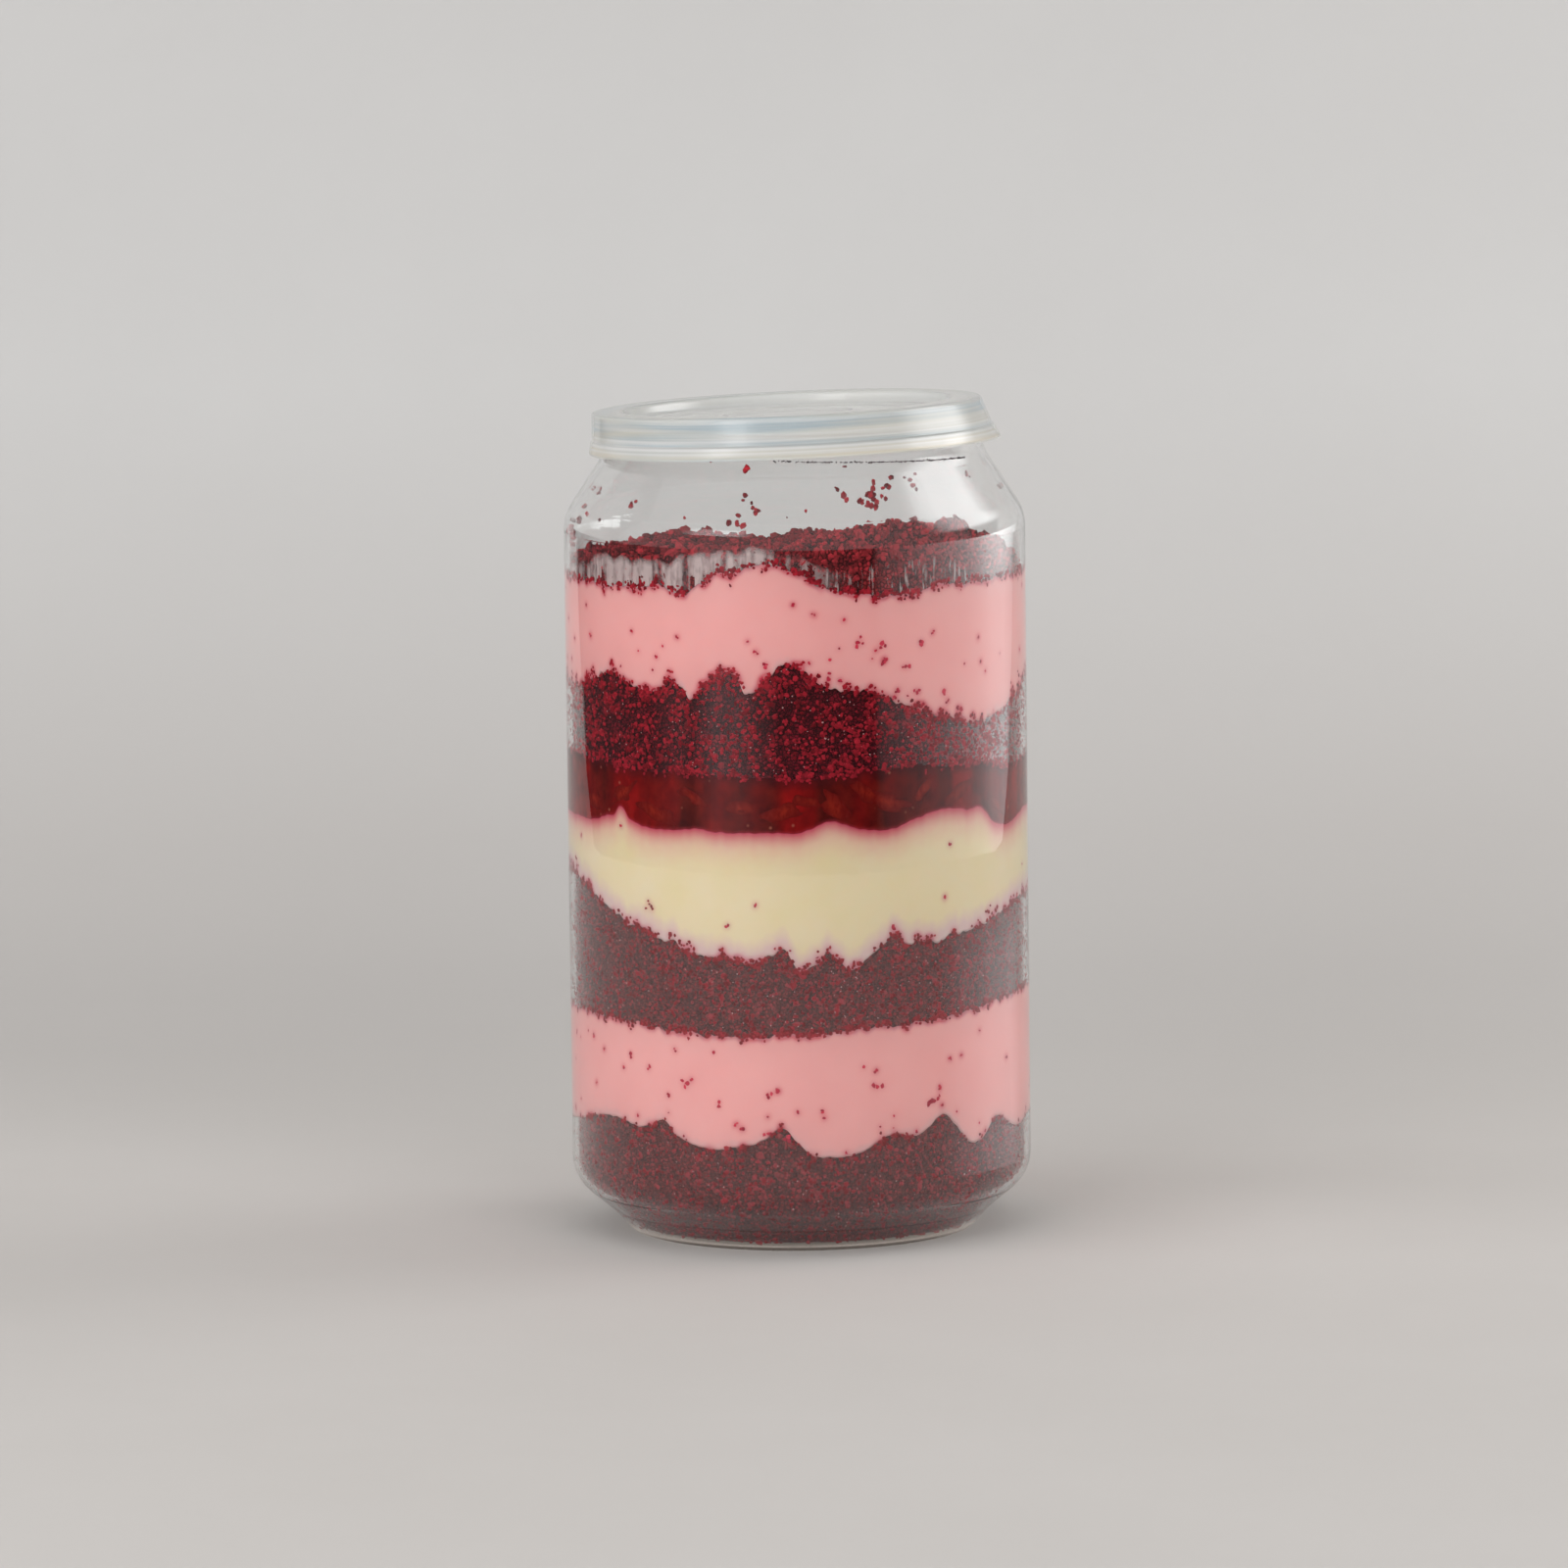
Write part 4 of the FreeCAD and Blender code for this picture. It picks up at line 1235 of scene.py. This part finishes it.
def table_finish():
    f = Finish("pale_plaster")
    broad = (f.clouds(90.0, 4.0, roughness=0.6) * 1.6 - 0.3).clipped()
    fine = f.clouds(1.6, 4.0)
    _, back, high = f.axes(f.spot())
    table_colour = f.blend(broad, (0.60, 0.575, 0.552), (0.63, 0.605, 0.585))
    wall_colour = f.blend(broad, (0.575, 0.567, 0.56), (0.605, 0.60, 0.593))
    # Painted shade: the backdrop is painted darker at its foot, in the hollow of the bend.
    wall_with_painted_cove_shade = f.blend(((high - 0.02) * 14.0).clipped(), (0.53, 0.51, 0.495), wall_colour)
    body = f.blend(((back - 0.06) * 6.0).clipped(), table_colour, wall_with_painted_cove_shade)
    plaster = f.surface({"Base Color": body, "Roughness": 0.75 + 0.1 * fine, "Specular IOR Level": 0.2,
        "Normal": f.bump(fine, 0.05, 0.3)})
    seen_from_behind = f.node("ShaderNodeNewGeometry", out=6)
    return f.finish(f.either(seen_from_behind, plaster, f.node("ShaderNodeBsdfTransparent")))


table = sweep()
table.data.shade_smooth()
give(table_finish(), table)
print("table normal:", table.data.polygons[0].normal[:])

# %% [markdown]
# ## Lamps
# The room is bright and soft: wide lamps in front and at both sides light the food evenly, and the
# whole room glows a little. The lamps are left out of reflections, because a lamp's hard corners
# would show in the plastic.

# %% Lamps
def lamp(name, azimuth, distance, height, width, tall, glow, colour=(1, 1, 1)):
    """A soft lamp azimuth degrees round from the front, aimed at the can. glow is its brightness."""
    light = bpy.data.lights.new(name, "AREA")
    light.shape = "RECTANGLE"
    light.size, light.size_y = width, tall
    light.energy = glow * math.pi * width * tall
    light.color = colour
    holder = bpy.data.objects.new(name, light)
    spot = Vector((*at_wall(azimuth, distance), height))
    facing = (spot - Vector((0, 0, 60 * MM))).to_track_quat("Z", "Y")
    holder.matrix_world = Matrix.Translation(spot) @ facing.to_matrix().to_4x4()
    holder.visible_glossy = holder.visible_transmission = False
    bpy.context.scene.collection.objects.link(holder)
    print(f"{name}: {light.energy:.2f} W")


lamp("tall_lamp_right", 108, 0.62, 0.26, 0.40, 0.45, 2.55, (1.0, 0.985, 0.97))
lamp("soft_lamp_left", -72, 0.95, 0.42, 0.60, 0.55, 2.6, (0.98, 0.99, 1.0))
lamp("front_lamp_left", -34, 1.25, 0.52, 0.9, 0.7, 3.0)
lamp("front_lamp_right", 26, 1.25, 0.52, 0.9, 0.7, 2.2)

world = bpy.data.worlds.new("soft_room")
bpy.context.scene.world = world
world.use_nodes = True
room = world.node_tree.nodes["Background"].inputs
room["Color"].default_value = (1.0, 0.995, 0.985, 1)
room["Strength"].default_value = 0.50

# %% [markdown]
# ## What the plastic mirrors
# The plastic mirrors bent cards, which nothing but reflections sees. A low wrap goes nearly all the
# way round, dark in front and brightest at the right, like a room with a window past the table's
# end. A tall card stands for that window. A small one puts a soft glint on the left of the lid, and
# another, close by, lights the right of the foot. All but the wrap fade out at their edges.

# %% Cards
WRAP_START, WRAP_END = -150, 160
GLOW_ROUND = ((-150, 0.03), (-75, 0.04), (-60, 0.10), (-52, 0.07), (-40, 0.22), (-28, 0.20), (-18, 0.10),
    (-8, 0.03), (38, 0.015), (41, 0.10), (60, 0.24), (75, 0.38), (90, 0.56), (100, 0.74), (110, 1.0),
    (122, 0.92), (134, 0.48), (148, 0.14), (160, 0.08))
WINDOW_GLOW = ((0.0, 0.3), (0.4, 1.0), (0.75, 0.9), (1.0, 0.2))
SOFT_GLOW = ((0.0, 0.6), (0.5, 1.0), (1.0, 0.6))


def mirrored_card(name, start, end, reach, tall, foot=0.0):
    """A bent card from one direction to another, with a map of its own from 0 to 1."""
    sheet = bmesh.new()
    bmesh.ops.create_grid(sheet, x_segments=96, y_segments=2, size=0.5)
    card_map = sheet.loops.layers.uv.new("card")
    for face in sheet.faces:
        for loop in face.loops:
            loop[card_map].uv = (loop.vert.co.x + 0.5, loop.vert.co.y + 0.5)
    for v in sheet.verts:
        direction = start + (end - start) * (v.co.x + 0.5)
        v.co = Vector((*at_wall(direction, reach), foot + tall * (v.co.y + 0.5)))
    piece = in_scene(name, sheet)
    piece.visible_camera = piece.visible_diffuse = piece.visible_shadow = False
    print(name, "spans", end - start, "degrees")
    return piece


def card_finish(name, stops, glow, low_edge, edges):
    """low_edge is the share of the glow at the card's foot; edges fades its ends and its head."""
    f = Finish(name)
    along, height, _ = f.axes(f.node("ShaderNodeUVMap", {"uv_map": "card"}))
    rise = height * 10.0 if edges else (height - 0.45) * 6.0
    rising = rise.clipped() * (1 - low_edge) + low_edge
    greys = f.node("ShaderNodeValToRGB", {"stops": stops}, {"Fac": along})
    lit = f.surface({"Base Color": (0, 0, 0), "Specular IOR Level": 0.0, "Roughness": 1.0,
        "Emission Color": f.blend(rising, (0, 0, 0), greys), "Emission Strength": glow})
    if not edges:
        return f.finish(lit)
    ends = (along * 5.0).clipped() * ((1 - along) * 5.0).clipped() * ((1 - height) * 4.0).clipped()
    return f.finish(f.either(ends, f.node("ShaderNodeBsdfTransparent"), lit))


low_wrap = mirrored_card("low_wrap", WRAP_START, WRAP_END, 0.43, 0.10)
glow_along = [((azimuth - WRAP_START) / (WRAP_END - WRAP_START), grey) for azimuth, grey in GLOW_ROUND]
give(card_finish("mirrored_room", glow_along, 3.2, 0.62, False), low_wrap)
CARDS = (("tall_glow", (70, 132, 0.425, 0.42, 0.19), ("mirrored_window", WINDOW_GLOW, 5.4, 0.15)),
    ("lid_glint_left", (-62, -21, 0.42, 0.16, 0.30), ("lid_glint_left", SOFT_GLOW, 4.2, 0.8)),
    ("low_glow", (58, 120, 0.075, 0.045, 0.0), ("low_glow", SOFT_GLOW, 1.4, 0.8)))
for card_name, bounds, look in CARDS:
    card = mirrored_card(card_name, *bounds)
    card.visible_transmission = False
    give(card_finish(*look, True), card)

# %% [markdown]
# # The camera
# A long lens from a little above the can, turned by less than a degree, as a hand on a tripod
# leaves it.

# %% Camera
DISTANCE, ELEVATION, ROLL = 1.5, math.radians(7.374), math.radians(-0.688)
AIM = Vector((-0.001935, 0, 0.06372))
back = Vector((0, -math.cos(ELEVATION), math.sin(ELEVATION)))
level_right = Vector((1, 0, 0))
level_up = level_right.cross(-back)
right = math.cos(ROLL) * level_right + math.sin(ROLL) * level_up
up = -math.sin(ROLL) * level_right + math.cos(ROLL) * level_up
camera_data = bpy.data.cameras.new("camera")
camera_data.sensor_width = 36.0
camera_data.lens = 239.76
camera_data.clip_start, camera_data.clip_end = 0.05, 20.0
camera = bpy.data.objects.new("camera", camera_data)
turned = Matrix((right, up, back)).transposed().to_4x4()
camera.matrix_world = Matrix.Translation(AIM + back * DISTANCE) @ turned
bpy.context.scene.collection.objects.link(camera)
bpy.context.scene.camera = camera
bpy.context.scene.view_settings.view_transform = "Standard"
print("camera at", [round(c, 3) for c in camera.matrix_world.translation])

# %% [markdown]
# Last, the view layer is brought up to date.

# %% Finish
bpy.context.view_layer.update()
